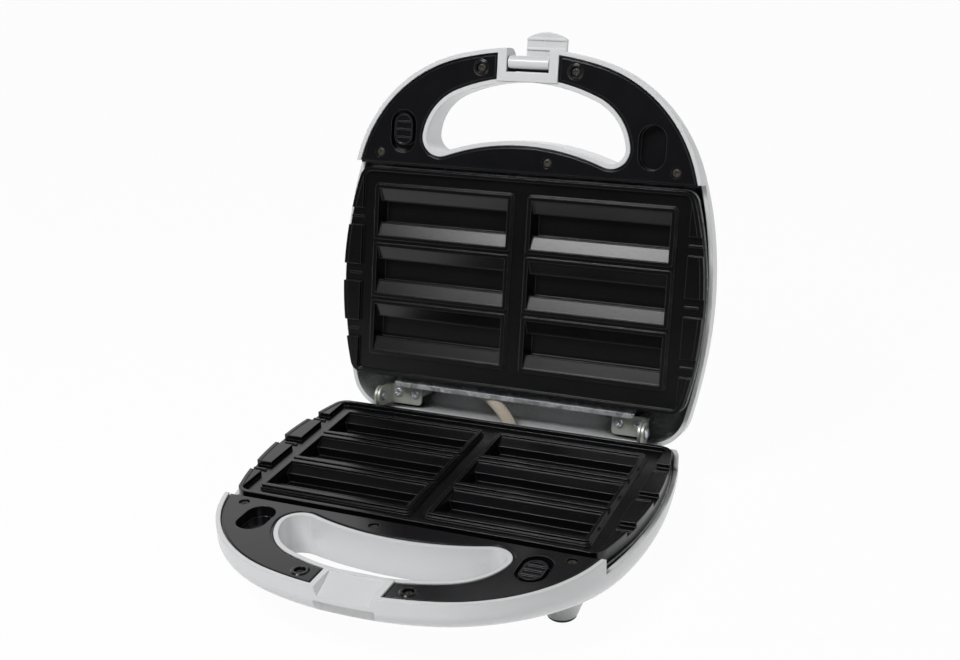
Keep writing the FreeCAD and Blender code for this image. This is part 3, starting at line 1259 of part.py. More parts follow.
def thermostat():
    """Round bimetal thermostat under the heat shield with two flat terminals."""
    top = -d.tray_deep
    rim, end = top - d.cap_tall, top - d.thermostat_tall
    points = [(0, top), (d.cap_radius, top), (d.cap_radius, rim), (d.case_radius, rim),
              (d.case_radius, top - d.case_tall), (d.case_end, end), (0, end)]
    body = turned_piece("thermostat_body", points, d.thermostat_u, d.control_v)
    tabs = []
    for side in (1, -1):
        middle = d.control_v + side * d.terminal_pitch / 2
        tabs.append(box(f"thermostat_tab{side}",
                        (d.thermostat_u - d.terminal_thick / 2, d.thermostat_u + d.terminal_thick / 2),
                        (middle - d.terminal_width / 2, middle + d.terminal_width / 2),
                        (top - d.terminal_tall, top - d.terminal_root)))
    return fuse("thermostat", [body] + tabs)


def thermal_fuse():
    """Thermal cut-out in its sleeve, held to the heat shield by a strap."""
    axis = -d.tray_deep - d.fuse_radius
    capsule = cross_cylinder("thermal_fuse_capsule", d.fuse_radius, (d.fuse_start, d.fuse_end),
                             d.control_v, axis)
    left, right = d.fuse_start + d.lead_root, d.fuse_end - d.lead_root
    runs = {"left": (left - d.lead_length, left), "right": (right, right + d.lead_length)}
    leads = [cross_cylinder(f"thermal_fuse_lead_{hand}", d.lead_radius, run, d.control_v, axis)
             for hand, run in runs.items()]
    return fuse("thermal_fuse", [capsule] + leads)


def fuse_strap():
    """Sheet strap round the thermal cut-out."""
    top = -d.tray_deep
    axis = top - d.fuse_radius
    width, beyond = (d.strap_start, d.strap_end), (d.strap_start - BEYOND, d.strap_end + BEYOND)
    hoop = cross_cylinder("fuse_strap_hoop", d.fuse_radius + d.sheet, width, d.control_v, axis)
    tabs = box("fuse_strap_tabs", width, (d.control_v - d.strap_reach, d.control_v + d.strap_reach),
               (top - d.sheet, top))
    bore = cross_cylinder("fuse_strap_bore", d.fuse_radius, beyond, d.control_v, axis)
    mouth = box("fuse_strap_mouth", beyond, (d.control_v - d.fuse_radius, d.control_v + d.fuse_radius),
                (axis, top + BEYOND))
    above = box("fuse_strap_above", beyond, (d.control_v - BEYOND, d.control_v + BEYOND),
                (top, top + BEYOND))
    return cut("fuse_strap", fuse("fuse_strap_solid", [hoop, tabs]), [bore, mouth, above])


def terminal_block():
    """Two-way terminal block on the floor behind the gland."""
    floor = d.wall - d.base_depth
    block = box("terminal_block_body", (d.block_u - d.block_half, d.block_u + d.block_half),
                (d.block_v - d.block_side, d.block_v + d.block_side), (floor, floor + d.block_tall))
    cuts = []
    for side in (1, -1):
        cuts.append(cylinder(f"terminal_block_well{side}", d.block_well,
                             d.block_u + side * d.block_pitch / 2, d.block_v,
                             (floor + d.block_well_floor, BEYOND)))
        edge, past = d.block_v + side * d.block_bar, d.block_v + side * BEYOND
        cuts.append(box(f"terminal_block_ledge{side}", (d.block_u - BEYOND, d.block_u + BEYOND),
                        (edge, past) if side > 0 else (past, edge), (floor + d.block_ledge, BEYOND)))
    return cut("terminal_block", block, cuts)


def lamp_lens(name, side):
    """Domed lens pushed through the lid's top from inside."""
    inner, outer = d.wall - d.lid_depth, -d.lid_depth
    flange, back = d.lens_radius + d.lens_flange, inner + d.flange_tall
    points = [(0, back), (flange, back), (flange, inner), (d.lens_radius, inner),
              (d.lens_radius, outer - d.lens_rise),
              (d.lens_radius - d.lens_bevel, outer - d.lens_bevel), (0, outer - d.lens_tall)]
    return turned_piece(name, points, side * d.lens_u, d.lens_v)


def lamp(name, side):
    """Neon lamp behind its lens."""
    low = d.wall - d.lid_depth + d.flange_tall
    high = low + d.lamp_tall
    points = [(0, low), (d.lamp_tip, low), (d.lamp_radius, low + d.lamp_slope),
              (d.lamp_radius, high - d.lamp_bevel), (d.lamp_radius - d.lamp_bevel, high), (0, high)]
    return turned_piece(name, points, side * d.lens_u, d.lens_v)


def latch_profile(rear, front):
    """Side view of the latch's leg and tab, with two grip ribs across the tab."""
    face, low = -d.tab_deep, -d.tab_deep - d.tab_thick
    rib = d.grip_rib
    points = [(front, -d.latch_deep), (rear + d.heel_in, d.heel_rise - d.latch_deep),
              (rear, -d.latch_deep - d.heel_drop), (rear, low + d.elbow),
              (rear + d.elbow, low), (d.tab_tip, low), (d.tab_tip, face)]
    for crease in (d.tab_tip - d.grip_front, d.tab_tip - d.grip_rear):
        points += [(crease + 2 * rib, face), (crease + rib, face + rib), (crease - rib, face + rib),
                   (crease - 2 * rib, face)]
    points += [(front + d.elbow_inner, face), (front, face + d.elbow_inner)]
    return polygon("latch_profile", points, SIDE_VIEW)


def latch_hook(middle, front):
    """Nose on the leg that catches under the base's lip."""
    top, tip = -d.hook_deep, d.latch_v + d.hook_reach
    profile = polygon("latch_hook_profile", [
        (middle, top), (tip, top), (tip, top - d.hook_edge), (front, top - d.hook_tall),
        (middle, top - d.hook_tall)], SIDE_VIEW)
    return extrude("latch_hook", profile, Vector(1, 0, 0), 2 * d.hook_half, symmetric=True)


def latch():
    """Locking clip, folded back: barrel on the pin, leg with a hook, and a pull tab with a domed tip."""
    middle, half = d.latch_v - d.leg_offset, d.latch_width / 2
    rear, front = middle - d.leg_thick / 2, middle + d.leg_thick / 2
    low = -d.tab_deep - d.tab_thick
    arm = extrude("latch_arm", latch_profile(rear, front), Vector(1, 0, 0), d.latch_width, symmetric=True)
    tip = cylinder("latch_tip", d.tab_round, 0, d.tab_tip - d.tab_round, (low - 1, 1))
    body = box("latch_body", (-d.latch_width, d.latch_width), (rear - 1, d.latch_v + 1), (low - 1, 1))
    trimmed = common("latch_trimmed", arm, fuse("latch_limits", [tip, body]))
    barrel = cross_cylinder("latch_barrel", d.barrel, (-half, half), d.latch_v, -d.latch_deep)
    joined = fuse("latch_joined", [trimmed, latch_hook(middle, front), barrel])
    bore = cross_cylinder("latch_bore", d.latch_pin + d.running, (-BEYOND, BEYOND),
                          d.latch_v, -d.latch_deep)
    return cut("latch", joined, [bore])


def wire_sleeve():
    """Braided sleeve round the lid's wires, from inside the lid down into the base."""
    route = [Vector(-30, 23, 2), Vector(-20, 14.5, 4), Vector(-11, 8.2, 2.2), Vector(1, 0.4, -5),
             Vector(7, -4.2, -14), Vector(9, -7.2, -24)]
    edges = []
    start = route[0]
    for before, point, after in zip(route, route[1:], route[2:]):
        back, ahead = before - point, after - point
        turn = math.pi - back.getAngle(ahead)
        shorter = min(back.Length, ahead.Length)
        set_back = 0.45 * shorter
        radius = set_back / math.tan(turn / 2)
        enter, leave = point + back.normalize() * set_back, point + ahead.normalize() * set_back
        bisector = ((enter - point) + (leave - point)).normalize()
        middle = point + bisector * (math.hypot(radius, set_back) - radius)
        edges.append(Part.LineSegment(start, enter).toShape())
        edges.append(Part.Arc(enter, middle, leave).toShape())
        start = leave
        print(f"sleeve bend radius {radius:.1f} mm")
    edges.append(Part.LineSegment(start, route[-1]).toShape())
    path = Part.Wire(edges)
    section = Part.Wire(Part.Circle(route[0], route[1] - route[0], d.sleeve_radius.value).toShape())
    item = doc.addObject("Part::Feature", "wire_sleeve")
    item.Shape = path.makePipeShell([section], True, True)
    ideal = math.pi * d.sleeve_radius.value ** 2 * path.Length
    share = item.Shape.Volume / ideal
    print(f"sleeve length {path.Length:.1f} mm, volume {share:.4f} of its section times length")
    return item


# Assembly

BASE_SEAT = "placement(vector(0; Dims.hinge_y; Dims.mate_z); rotation(vector(1; 0; 0); 0))"
LID_SEAT = ("placement(vector(0; Dims.hinge_y; Dims.mate_z); rotation(vector(1; 0; 0); -Dims.lid_open)"
            " * rotation(vector(0; 1; 0); 180))")
MOVABLE = ("Part::Cut", "Part::MultiFuse", "Part::Compound", "PartDesign::Body")


def seat(label, item, where):
    """Stand a finished piece in its half's place, under its own name."""
    if item.TypeId not in MOVABLE:
        item.Label = f"{label}_form"
        item = group(f"{label}_seat", [item])
    item.Label = label
    item.setExpression("Placement", where)
    return item


def half(name, where):
    """The pieces that both halves have alike."""
    reach = d.pilot - d.screw_spare
    return [
        seat(f"{name}_handle_cover", handle_cover(f"{name}_handle_cover"), where),
        seat(f"{name}_cooking_plate", cooking_plate(f"{name}_cooking_plate"), where),
        seat(f"{name}_heating_element", heating_element(f"{name}_heating_element"), where),
        seat(f"{name}_heat_shield", heat_shield(f"{name}_heat_shield"), where),
        seat(f"{name}_cover_screws", screws(f"{name}_cover_screws", cover_screw_places(MIDDLE_SCREW_SIDE),
                                            -d.cover_top - d.well_deep, reach, d.cover_head), where),
        seat(f"{name}_shield_screws", screws(f"{name}_shield_screws", stay_places(),
                                             d.sheet - d.tray_deep, reach), where),
        seat(f"{name}_plate_screws", screws(f"{name}_plate_screws", plate_screw_places(),
                                            -d.tray_deep, -reach), where),
    ]


def base_pieces():
    """Everything that stands still."""
    pieces = [seat("base_shell", base_shell(), BASE_SEAT), seat("base_feet", base_feet(), BASE_SEAT)]
    pieces += half("base", BASE_SEAT)
    for hand, side in (("left", -1), ("right", 1)):
        bracket = hinge_bracket(f"base_hinge_bracket_{hand}", side, d.base_ear_u, d.base_foot_deep, d.rivet,
                                d.base_ear_rear, d.base_ear_front)
        pieces.append(seat(f"base_hinge_bracket_{hand}", bracket, BASE_SEAT))
        pieces.append(seat(f"hinge_rivet_{hand}", hinge_rivet(f"hinge_rivet_{hand}", side), BASE_SEAT))
    pieces.append(seat("base_hinge_screws", screws("base_hinge_screws", hinge_screw_places(),
                                                   -d.base_foot_deep, d.base_hinge_screw), BASE_SEAT))
    for place, (u, v) in feet_places().items():
        pieces.append(seat(f"foot_pad_{place}", foot_pad(place, u, v), BASE_SEAT))
    for make in (cord_gland, thermostat, thermal_fuse, fuse_strap, terminal_block, wire_sleeve):
        pieces.append(seat(make.__name__, make(), BASE_SEAT))
    return pieces


def lid_pieces():
    """Everything that swings with the lid; its left is the drawing's right."""
    pieces = [seat("lid_shell", lid_shell(), LID_SEAT)] + half("lid", LID_SEAT)
    for hand, side in (("left", 1), ("right", -1)):
        bracket = hinge_bracket(f"lid_hinge_bracket_{hand}", side, d.lid_ear_u, d.lid_foot_deep,
                                d.rivet + d.running, d.ear_radius, d.ear_radius)
        pieces.append(seat(f"lid_hinge_bracket_{hand}", bracket, LID_SEAT))
    pieces.append(seat("lid_hinge_screws", screws("lid_hinge_screws", hinge_screw_places(),
                                                  -d.lid_foot_deep, d.lid_hinge_screw), LID_SEAT))
    for job, side in (("power", 1), ("ready", -1)):
        pieces.append(seat(f"{job}_lens", lamp_lens(f"{job}_lens", side), LID_SEAT))
        pieces.append(seat(f"{job}_lamp", lamp(f"{job}_lamp", side), LID_SEAT))
    pin_end = d.cover_end - d.pin_inset
    latch_pin = cross_cylinder("latch_pin", d.latch_pin, (-pin_end, pin_end), d.latch_v, -d.latch_deep)
    pieces.append(seat("latch_pin", latch_pin, LID_SEAT))
    pieces.append(seat("latch", latch(), LID_SEAT))
    return pieces


def write(pieces):
    """Check every object and write each piece to its own file."""
    doc.recompute()
    for item in doc.Objects:
        if "Invalid" in item.State or "Error" in item.State:
            raise RuntimeError(f"{item.Label} did not build: {item.State}")
    os.makedirs("parts", exist_ok=True)
    for item in pieces:
        shape = item.Shape
        if shape.isNull() or not shape.isValid():
            raise RuntimeError(f"{item.Label} has no valid shape")
        shape.exportStep(f"parts/{item.Label}.step")
    print(f"{len(pieces)} pieces written")


write(base_pieces() + lid_pieces())
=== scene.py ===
import json
import math

import bmesh
import bpy
import numpy as np
from mathutils import Matrix, Vector

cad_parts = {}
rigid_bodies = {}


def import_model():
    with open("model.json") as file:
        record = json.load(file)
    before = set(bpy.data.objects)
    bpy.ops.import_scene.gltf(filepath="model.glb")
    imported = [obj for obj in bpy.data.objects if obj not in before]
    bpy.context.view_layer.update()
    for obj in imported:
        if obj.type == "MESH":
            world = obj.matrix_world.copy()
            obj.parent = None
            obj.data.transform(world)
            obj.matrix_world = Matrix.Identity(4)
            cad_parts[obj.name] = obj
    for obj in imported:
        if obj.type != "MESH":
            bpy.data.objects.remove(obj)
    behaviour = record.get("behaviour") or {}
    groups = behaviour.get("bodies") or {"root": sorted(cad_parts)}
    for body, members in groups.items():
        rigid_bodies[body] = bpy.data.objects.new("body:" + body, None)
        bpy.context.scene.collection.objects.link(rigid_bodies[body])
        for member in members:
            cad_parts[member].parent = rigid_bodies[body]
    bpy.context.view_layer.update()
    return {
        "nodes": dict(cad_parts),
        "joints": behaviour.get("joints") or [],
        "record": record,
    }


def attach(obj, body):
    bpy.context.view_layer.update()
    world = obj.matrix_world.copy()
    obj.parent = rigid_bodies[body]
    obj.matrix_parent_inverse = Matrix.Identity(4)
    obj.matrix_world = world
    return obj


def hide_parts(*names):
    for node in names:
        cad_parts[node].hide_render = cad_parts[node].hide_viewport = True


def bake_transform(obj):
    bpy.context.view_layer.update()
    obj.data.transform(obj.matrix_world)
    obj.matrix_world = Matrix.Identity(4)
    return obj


# Finishes, screws and wire sleeve of an open churros-stick press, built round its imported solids.

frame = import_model()

MM = 0.001
NODES = frame["nodes"]
LID_JOINT = frame["joints"][0]
HINGE = Vector(LID_JOINT["pos_m"])
LID_OPEN = math.radians(LID_JOINT["range_deg"][1])
SLOT_OF = {part["node"]: part["material_slot"] for part in frame["record"]["subparts"]}

# The way that each half's open side faces
FACING = {
    "base": Vector((0, 0, 1)),
    "lid": Vector((0, -math.sin(LID_OPEN), -math.cos(LID_OPEN))),
}


# Node trees

class Field:
    """A socket that takes part in sums."""

    def __init__(self, tree, socket):
        self.tree = tree
        self.socket = socket

    def sum(self, operation, first, second):
        return self.tree.node("ShaderNodeMath", {"operation": operation}, {0: first, 1: second})

    def __add__(self, other):
        return self.sum("ADD", self, other)

    def __radd__(self, other):
        return self.sum("ADD", other, self)

    def __sub__(self, other):
        return self.sum("SUBTRACT", self, other)

    def __rsub__(self, other):
        return self.sum("SUBTRACT", other, self)

    def __mul__(self, other):
        return self.sum("MULTIPLY", self, other)

    def __rmul__(self, other):
        return self.sum("MULTIPLY", other, self)

    def __truediv__(self, other):
        return self.sum("DIVIDE", self, other)


class Tree:
    """A node tree that is filled by one method."""

    def __init__(self, nodes):
        self.nodes = nodes

    def node(self, kind, settings=None, sockets=None, output=0):
        """Add a node, set it up, fill its sockets, and give one of its outputs."""
        made = self.nodes.nodes.new(kind)
        for key, value in (settings or {}).items():
            setattr(made, key, value)
        for key, value in (sockets or {}).items():
            self.fill(made.inputs[key], value)
        return Field(self, made.outputs[output])

    def fill(self, socket, value):
        if isinstance(value, Field):
            self.nodes.links.new(value.socket, socket)
        elif socket.type == "RGBA" and len(value) == 3:
            socket.default_value = (*value, 1)
        else:
            socket.default_value = value

    def between(self, value, low, high):
        """0 below low, 1 above high, and a smooth step from one to the other."""
        return self.node("ShaderNodeMapRange", {"interpolation_type": "SMOOTHSTEP"},
                         {"Value": value, "From Min": low, "From Max": high})


BEVEL_SAMPLES = 4
RECESS_SAMPLES = 8

# A rounded normal that leans less than the first of these is on a flat face, more than the second on an edge
EDGE_LEAN = (0.01, 0.2)


class Paint(Tree):
    """The shader of one finish."""

    def __init__(self, name):
        self.material = bpy.data.materials.new(name)
        self.material.use_nodes = True
        super().__init__(self.material.node_tree)
        self.shader = self.nodes.nodes["Principled BSDF"]
        self.place = self.node("ShaderNodeTexCoord", output="Object")

    def noise(self, size, detail=2.0, stretch=None):
        """A soft random field with features of about that many millimetres."""
        place = self.place
        if stretch:
            place = self.node("ShaderNodeMapping", {}, {"Vector": place, "Scale": stretch})
        return self.node("ShaderNodeTexNoise", {},
                         {"Vector": place, "Scale": 1 / (size * MM), "Detail": detail})

    def cells(self, size, output="Distance", feature="F1"):
        """Random cells of about that many millimetres."""
        return self.node("ShaderNodeTexVoronoi", {"feature": feature},
                         {"Vector": self.place, "Scale": 1 / (size * MM)}, output)

    def mix(self, share, first, second):
        """A colour between two others."""
        return self.node("ShaderNodeMix", {"data_type": "RGBA"}, {0: share, 6: first, 7: second}, 2)

    def rounded(self, radius):
        """The normal of a surface whose edges are rounded by that many millimetres."""
        return self.node("ShaderNodeBevel", {"samples": BEVEL_SAMPLES}, {"Radius": radius * MM})

    def edge(self, rounded):
        """How far a rounded normal leans from the flat face: the share of an edge."""
        flat = self.node("ShaderNodeNewGeometry", output="Normal")
        along = self.node("ShaderNodeVectorMath", {"operation": "DOT_PRODUCT"},
                          {0: rounded, 1: flat}, "Value")
        return self.between(1 - along, *EDGE_LEAN)

    def recess(self, reach, start, end):
        """0 where more than the start share of the space that near is open, 1 where less than the end is."""
        openness = self.node("ShaderNodeAmbientOcclusion", {"samples": RECESS_SAMPLES},
                             {"Distance": reach * MM}, "AO")
        return self.between(openness, start, end)

    def bump(self, height, depth, normal=None):
        """A relief of that many millimetres."""
        sockets = {"Height": height, "Distance": depth * MM}
        if normal:
            sockets["Normal"] = normal
        return self.node("ShaderNodeBump", {}, sockets)

    def finish(self, **sockets):
        """Fill the shader's sockets, whose names are given with underscores."""
        for name, value in sockets.items():
            self.fill(self.shader.inputs[name.replace("_", " ")], value)
        return self.material


# Finishes

def glossy_white():
    """White moulded shells: a faint mottle, edges rounded by the mould, and painted shade deep inside."""
    paint = Paint("glossy_white")
    rounded = paint.rounded(0.8)
    mottle = paint.noise(26, 3)
    grain = paint.noise(0.9, 3)
    colour = paint.mix(mottle, (0.84, 0.85, 0.86), (0.88, 0.888, 0.895))
    colour = paint.mix(paint.recess(38, 0.4, 0.22) * 0.95, colour, (0.016, 0.017, 0.02))
    return paint.finish(Base_Color=colour, Roughness=0.2 + 0.1 * grain,
                        Normal=paint.bump(grain, 0.002, rounded), Specular_IOR_Level=0.5)


def satin_black():
    """Black handle covers: spark-eroded grain, and a painted highlight along the rounded edges."""
    paint = Paint("satin_black")
    rounded = paint.rounded(0.6)
    edge = paint.edge(rounded)
    mottle = paint.noise(14, 3)
    grain = paint.noise(0.35, 2)
    # Painted highlight: the base colour turns lighter grey along the rounded edges.
    colour = paint.mix(edge * 0.6, paint.mix(mottle, (0.004, 0.004, 0.005), (0.008, 0.008, 0.0095)),
                       (0.11, 0.11, 0.12))
    return paint.finish(Base_Color=colour, Roughness=0.13 + 0.08 * grain + 0.04 * mottle,
                        Normal=paint.bump(grain, 0.006, rounded), Specular_IOR_Level=0.5)


def nonstick():
    """Black non-stick coating: orange-peel relief, fine flakes and a painted highlight on the edges."""
    paint = Paint("nonstick")
    rounded = paint.rounded(0.7)
    edge = paint.edge(rounded)
    peel = paint.noise(1.3, 2)
    flake = paint.between(paint.cells(0.45), 0.32, 0.05)
    haze = paint.noise(30, 4)
    colour = paint.mix(flake * 0.25, paint.mix(haze, (0.0015, 0.0015, 0.002), (0.004, 0.004, 0.005)),
                       (0.02, 0.02, 0.021))
    # Painted highlight: the base colour turns lighter grey along the rounded edges.
    colour = paint.mix(edge * 0.5, colour, (0.08, 0.08, 0.082))
    return paint.finish(Base_Color=colour, Roughness=0.18 + 0.05 * peel + 0.05 * haze,
                        Normal=paint.bump(peel, 0.016, rounded), Specular_IOR_Level=0.48)


def spangled_zinc():
    """Hot-dipped sheet: crystals that differ in brightness and gloss."""
    paint = Paint("spangled_zinc")
    crystal = paint.node("ShaderNodeSeparateColor", {}, {0: paint.cells(5.0, "Color")})
    small = paint.node("ShaderNodeSeparateColor", {}, {0: paint.cells(1.7, "Color")}, 1)
    seam = paint.between(paint.cells(5.0, "Distance", "DISTANCE_TO_EDGE"), 0.05, 0.0)
    tone = 0.65 * crystal + 0.35 * small
    colour = paint.mix(tone, (0.42, 0.45, 0.48), (0.88, 0.9, 0.9))
    return paint.finish(Base_Color=colour, Metallic=0.75, Roughness=0.26 + 0.3 * tone + 0.1 * seam,
                        Normal=paint.bump(tone - 0.4 * seam, 0.03, paint.rounded(0.3)))


def passivated_zinc():
    """Pressed brackets: greenish yellow film over rolled steel, wiped bright on the edges."""
    paint = Paint("passivated_zinc")
    rounded = paint.rounded(0.45)
    edge = paint.edge(rounded)
    film = paint.noise(5, 4)
    lines = paint.noise(1.2, 3, (0.12, 1, 1))
    colour = paint.mix(film, (0.56, 0.58, 0.5), (0.74, 0.78, 0.72))
    colour = paint.mix(edge * 0.7, colour, (0.86, 0.87, 0.86))
    return paint.finish(Base_Color=colour, Metallic=0.6, Roughness=0.36 + 0.16 * lines,
                        Normal=paint.bump(lines, 0.01, rounded))


def bright_steel():
    """Rivets, pins and small screws: turned and tumbled, bluish zinc."""
    paint = Paint("bright_steel")
    rounded = paint.rounded(0.3)
    scuff = paint.noise(0.6, 4)
    cloud = paint.noise(4, 2)
    colour = paint.mix(cloud, (0.55, 0.6, 0.66), (0.78, 0.8, 0.82))
    return paint.finish(Base_Color=colour, Metallic=0.75, Roughness=0.26 + 0.2 * scuff,
                        Normal=paint.bump(scuff, 0.008, rounded))


def bronzed_steel():
    """Cover screws: dark bronze film, rubbed through on the edges."""
    paint = Paint("bronzed_steel")
    rounded = paint.rounded(0.25)
    edge = paint.edge(rounded)
    scuff = paint.noise(0.7, 4)
    colour = paint.mix(scuff, (0.05, 0.045, 0.038), (0.1, 0.09, 0.075))
    colour = paint.mix(edge * 0.6, colour, (0.26, 0.24, 0.2))
    return paint.finish(Base_Color=colour, Metallic=0.5, Roughness=0.3 + 0.2 * scuff,
                        Normal=paint.bump(scuff, 0.01, rounded))


def heated_tube():
    """Heating tube: dull oxide with straw and blue tints."""
    paint = Paint("heated_tube")
    tint = paint.noise(18, 3)
    scale = paint.noise(0.8, 4)
    colour = paint.mix(tint, (0.16, 0.15, 0.15), (0.34, 0.28, 0.22))
    return paint.finish(Base_Color=colour, Metallic=1.0, Roughness=0.42 + 0.22 * scale,
                        Normal=paint.bump(scale, 0.02))


def soft_rubber():
    """Feet and cord gland: matte rubber with a powdery bloom."""
    paint = Paint("soft_rubber")
    bloom = paint.noise(3, 4)
    pores = paint.noise(0.4, 2)
    colour = paint.mix(bloom, (0.014, 0.014, 0.015), (0.035, 0.035, 0.036))
    return paint.finish(Base_Color=colour, Roughness=0.62 + 0.2 * pores,
                        Normal=paint.bump(pores, 0.02, paint.rounded(0.4)))


def pressed_resin():
    """Thermostat body: brown-black resin with a coarse filler."""
    paint = Paint("pressed_resin")
    filler = paint.cells(0.8)
    colour = paint.mix(filler, (0.05, 0.04, 0.032), (0.022, 0.018, 0.015))
    return paint.finish(Base_Color=colour, Roughness=0.4 + 0.2 * filler,
                        Normal=paint.bump(filler, 0.02, paint.rounded(0.4)))


def ivory_nylon():
    """Terminal block: ivory nylon with flow marks."""
    paint = Paint("ivory_nylon")
    flow = paint.noise(5, 3, (0.3, 1, 1))
    colour = paint.mix(flow, (0.62, 0.58, 0.47), (0.74, 0.71, 0.6))
    return paint.finish(Base_Color=colour, Roughness=0.4 + 0.12 * flow,
                        Normal=paint.bump(flow, 0.02, paint.rounded(0.4)))


def glass_braid():
    """Woven glass-fibre sleeve: straw-coloured yarns with fine darker spots, painted shade for the hollows.
    """
    paint = Paint("glass_braid")
    yarn = paint.noise(0.25, 3)
    stain = paint.noise(7, 3)
    colour = paint.mix(stain, (0.64, 0.56, 0.46), (0.8, 0.73, 0.64))
    # Painted shade: fine random darker spots stand in for the shaded hollows between yarns.
    colour = paint.mix(yarn * 0.5, colour, (0.36, 0.3, 0.22))
    return paint.finish(Base_Color=colour, Roughness=0.55 + 0.25 * yarn, Normal=paint.bump(yarn, 0.05),
                        Sheen_Weight=0.3, Sheen_Roughness=0.4)


def lamp_glass():
    """Small lamp bulbs: clear glass with a smoky end."""
    paint = Paint("lamp_glass")
    smoke = paint.noise(3, 3)
    colour = paint.mix(smoke, (0.86, 0.86, 0.84), (0.6, 0.58, 0.55))
    return paint.finish(Base_Color=colour, Roughness=0.05 + 0.08 * smoke, Transmission_Weight=0.6,
                        Normal=paint.bump(smoke, 0.01))


def ribbed_lens(name, dark, bright):
    """Indicator lens: clear coloured plastic with fine ribs under a glossy face."""
    paint = Paint(name)
    ribs = paint.node("ShaderNodeTexWave", {"bands_direction": "X", "wave_profile": "SIN"},
                      {"Vector": paint.place, "Scale": 300.0, "Distortion": 0.2})
    colour = paint.mix(ribs, dark, bright)
    return paint.finish(Base_Color=colour, Roughness=0.1 + 0.08 * ribs, Coat_Weight=0.6,
                        Transmission_Weight=0.25, Normal=paint.bump(ribs, 0.05))


FINISH_OF_SLOT = {
    "white_plastic": glossy_white(),
    "black_plastic": satin_black(),
    "nonstick": nonstick(),
    "galvanised": spangled_zinc(),
    "element_steel": heated_tube(),
    "zinc_screw": bright_steel(),
    "dark_screw": bronzed_steel(),
    "rubber": soft_rubber(),
    "bakelite": pressed_resin(),
    "terminal_plastic": ivory_nylon(),
    "braid": glass_braid(),
    "lamp_glass": lamp_glass(),
    "red_lens": ribbed_lens("red_lens", (0.28, 0.008, 0.006), (0.7, 0.03, 0.02)),
    "green_lens": ribbed_lens("green_lens", (0.01, 0.16, 0.04), (0.05, 0.5, 0.14)),
}
BRACKET_ZINC = passivated_zinc()
FINISH_OF_NODE = {
    "lid_hinge_bracket_left": BRACKET_ZINC,
    "lid_hinge_bracket_right": BRACKET_ZINC,
    "base_hinge_bracket_left": BRACKET_ZINC,
    "base_hinge_bracket_right": BRACKET_ZINC,
    "hinge_rivet_left": FINISH_OF_SLOT["zinc_screw"],
    "hinge_rivet_right": FINISH_OF_SLOT["zinc_screw"],
    "latch_pin": FINISH_OF_SLOT["zinc_screw"],
}


def dress_nodes():
    """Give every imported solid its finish."""
    for name, node in NODES.items():
        node.data.materials.clear()
        node.data.materials.append(FINISH_OF_NODE.get(name) or FINISH_OF_SLOT[SLOT_OF[name]])


# Pieces that repeat or follow a path

class Pattern(Tree):
    """A geometry tree with named inputs."""

    def __init__(self, name, inputs):
        self.group = bpy.data.node_groups.new(name, "GeometryNodeTree")
        super().__init__(self.group)
        face = self.group.interface
        face.new_socket("Geometry", in_out="INPUT", socket_type="NodeSocketGeometry")
        self.sockets = {key: face.new_socket(key, in_out="INPUT", socket_type=kind)
                        for key, kind in inputs.items()}
        face.new_socket("Geometry", in_out="OUTPUT", socket_type="NodeSocketGeometry")
        self.start = self.nodes.nodes.new("NodeGroupInput")
        self.end = self.nodes.nodes.new("NodeGroupOutput")

    def input(self, name):
        return Field(self, self.start.outputs[name])

    def join(self, *parts):
        """All these geometries as one."""
        whole = self.node("GeometryNodeJoinGeometry")
        for part in parts:
            self.fill(whole.socket.node.inputs[0], part)
        return whole

    def swept(self, curve, radius, sides):
        """A round tube along a curve, closed at its ends."""
        ring = self.node("GeometryNodeCurvePrimitiveCircle", {"mode": "RADIUS"},
                         {"Resolution": sides, "Radius": radius})
        return self.node("GeometryNodeCurveToMesh", {},
                         {"Curve": curve, "Profile Curve": ring, "Fill Caps": True})

    def close(self, geometry):
        """Realize what the tree made, and give it its material."""
        whole = self.node("GeometryNodeRealizeInstances", {}, {0: geometry})
        painted = self.node("GeometryNodeSetMaterial", {},
                            {"Geometry": whole, "Material": self.input("Material")})
        self.fill(self.end.inputs[0], painted)

    def make(self, name, carrier, values):
        """Run the tree on an object's data, and give a plain mesh object."""
        scene = bpy.context.scene.collection.objects
        source = bpy.data.objects.new(f"{name}_source", carrier)
        scene.link(source)
        modifier = source.modifiers.new("pattern", "NODES")
        modifier.node_group = self.group
        for key, value in values.items():
            modifier[self.sockets[key].identifier] = value
        shown = source.evaluated_get(bpy.context.evaluated_depsgraph_get())
        mesh = bpy.data.meshes.new_from_object(shown)
        bpy.data.objects.remove(source)
        piece = bpy.data.objects.new(name, mesh)
        scene.link(piece)
        return piece


HEAD_RINGS = 18
HEAD_STEPS = 64

# A unit pan head with a cross recess, in shares of its radius and height
RIM_HEIGHT = 0.45
DOME_REACH = 0.97
DOME_POWER = 4
WING_HALF_WIDTH, WING_SIDE = 0.19, 0.07
WING_LENGTH, WING_END = 0.66, 0.12
WING_RISE = 0.45
CORE_RADIUS, CORE_SIDE = 0.34, 0.1
RECESS_DEPTH = 0.62


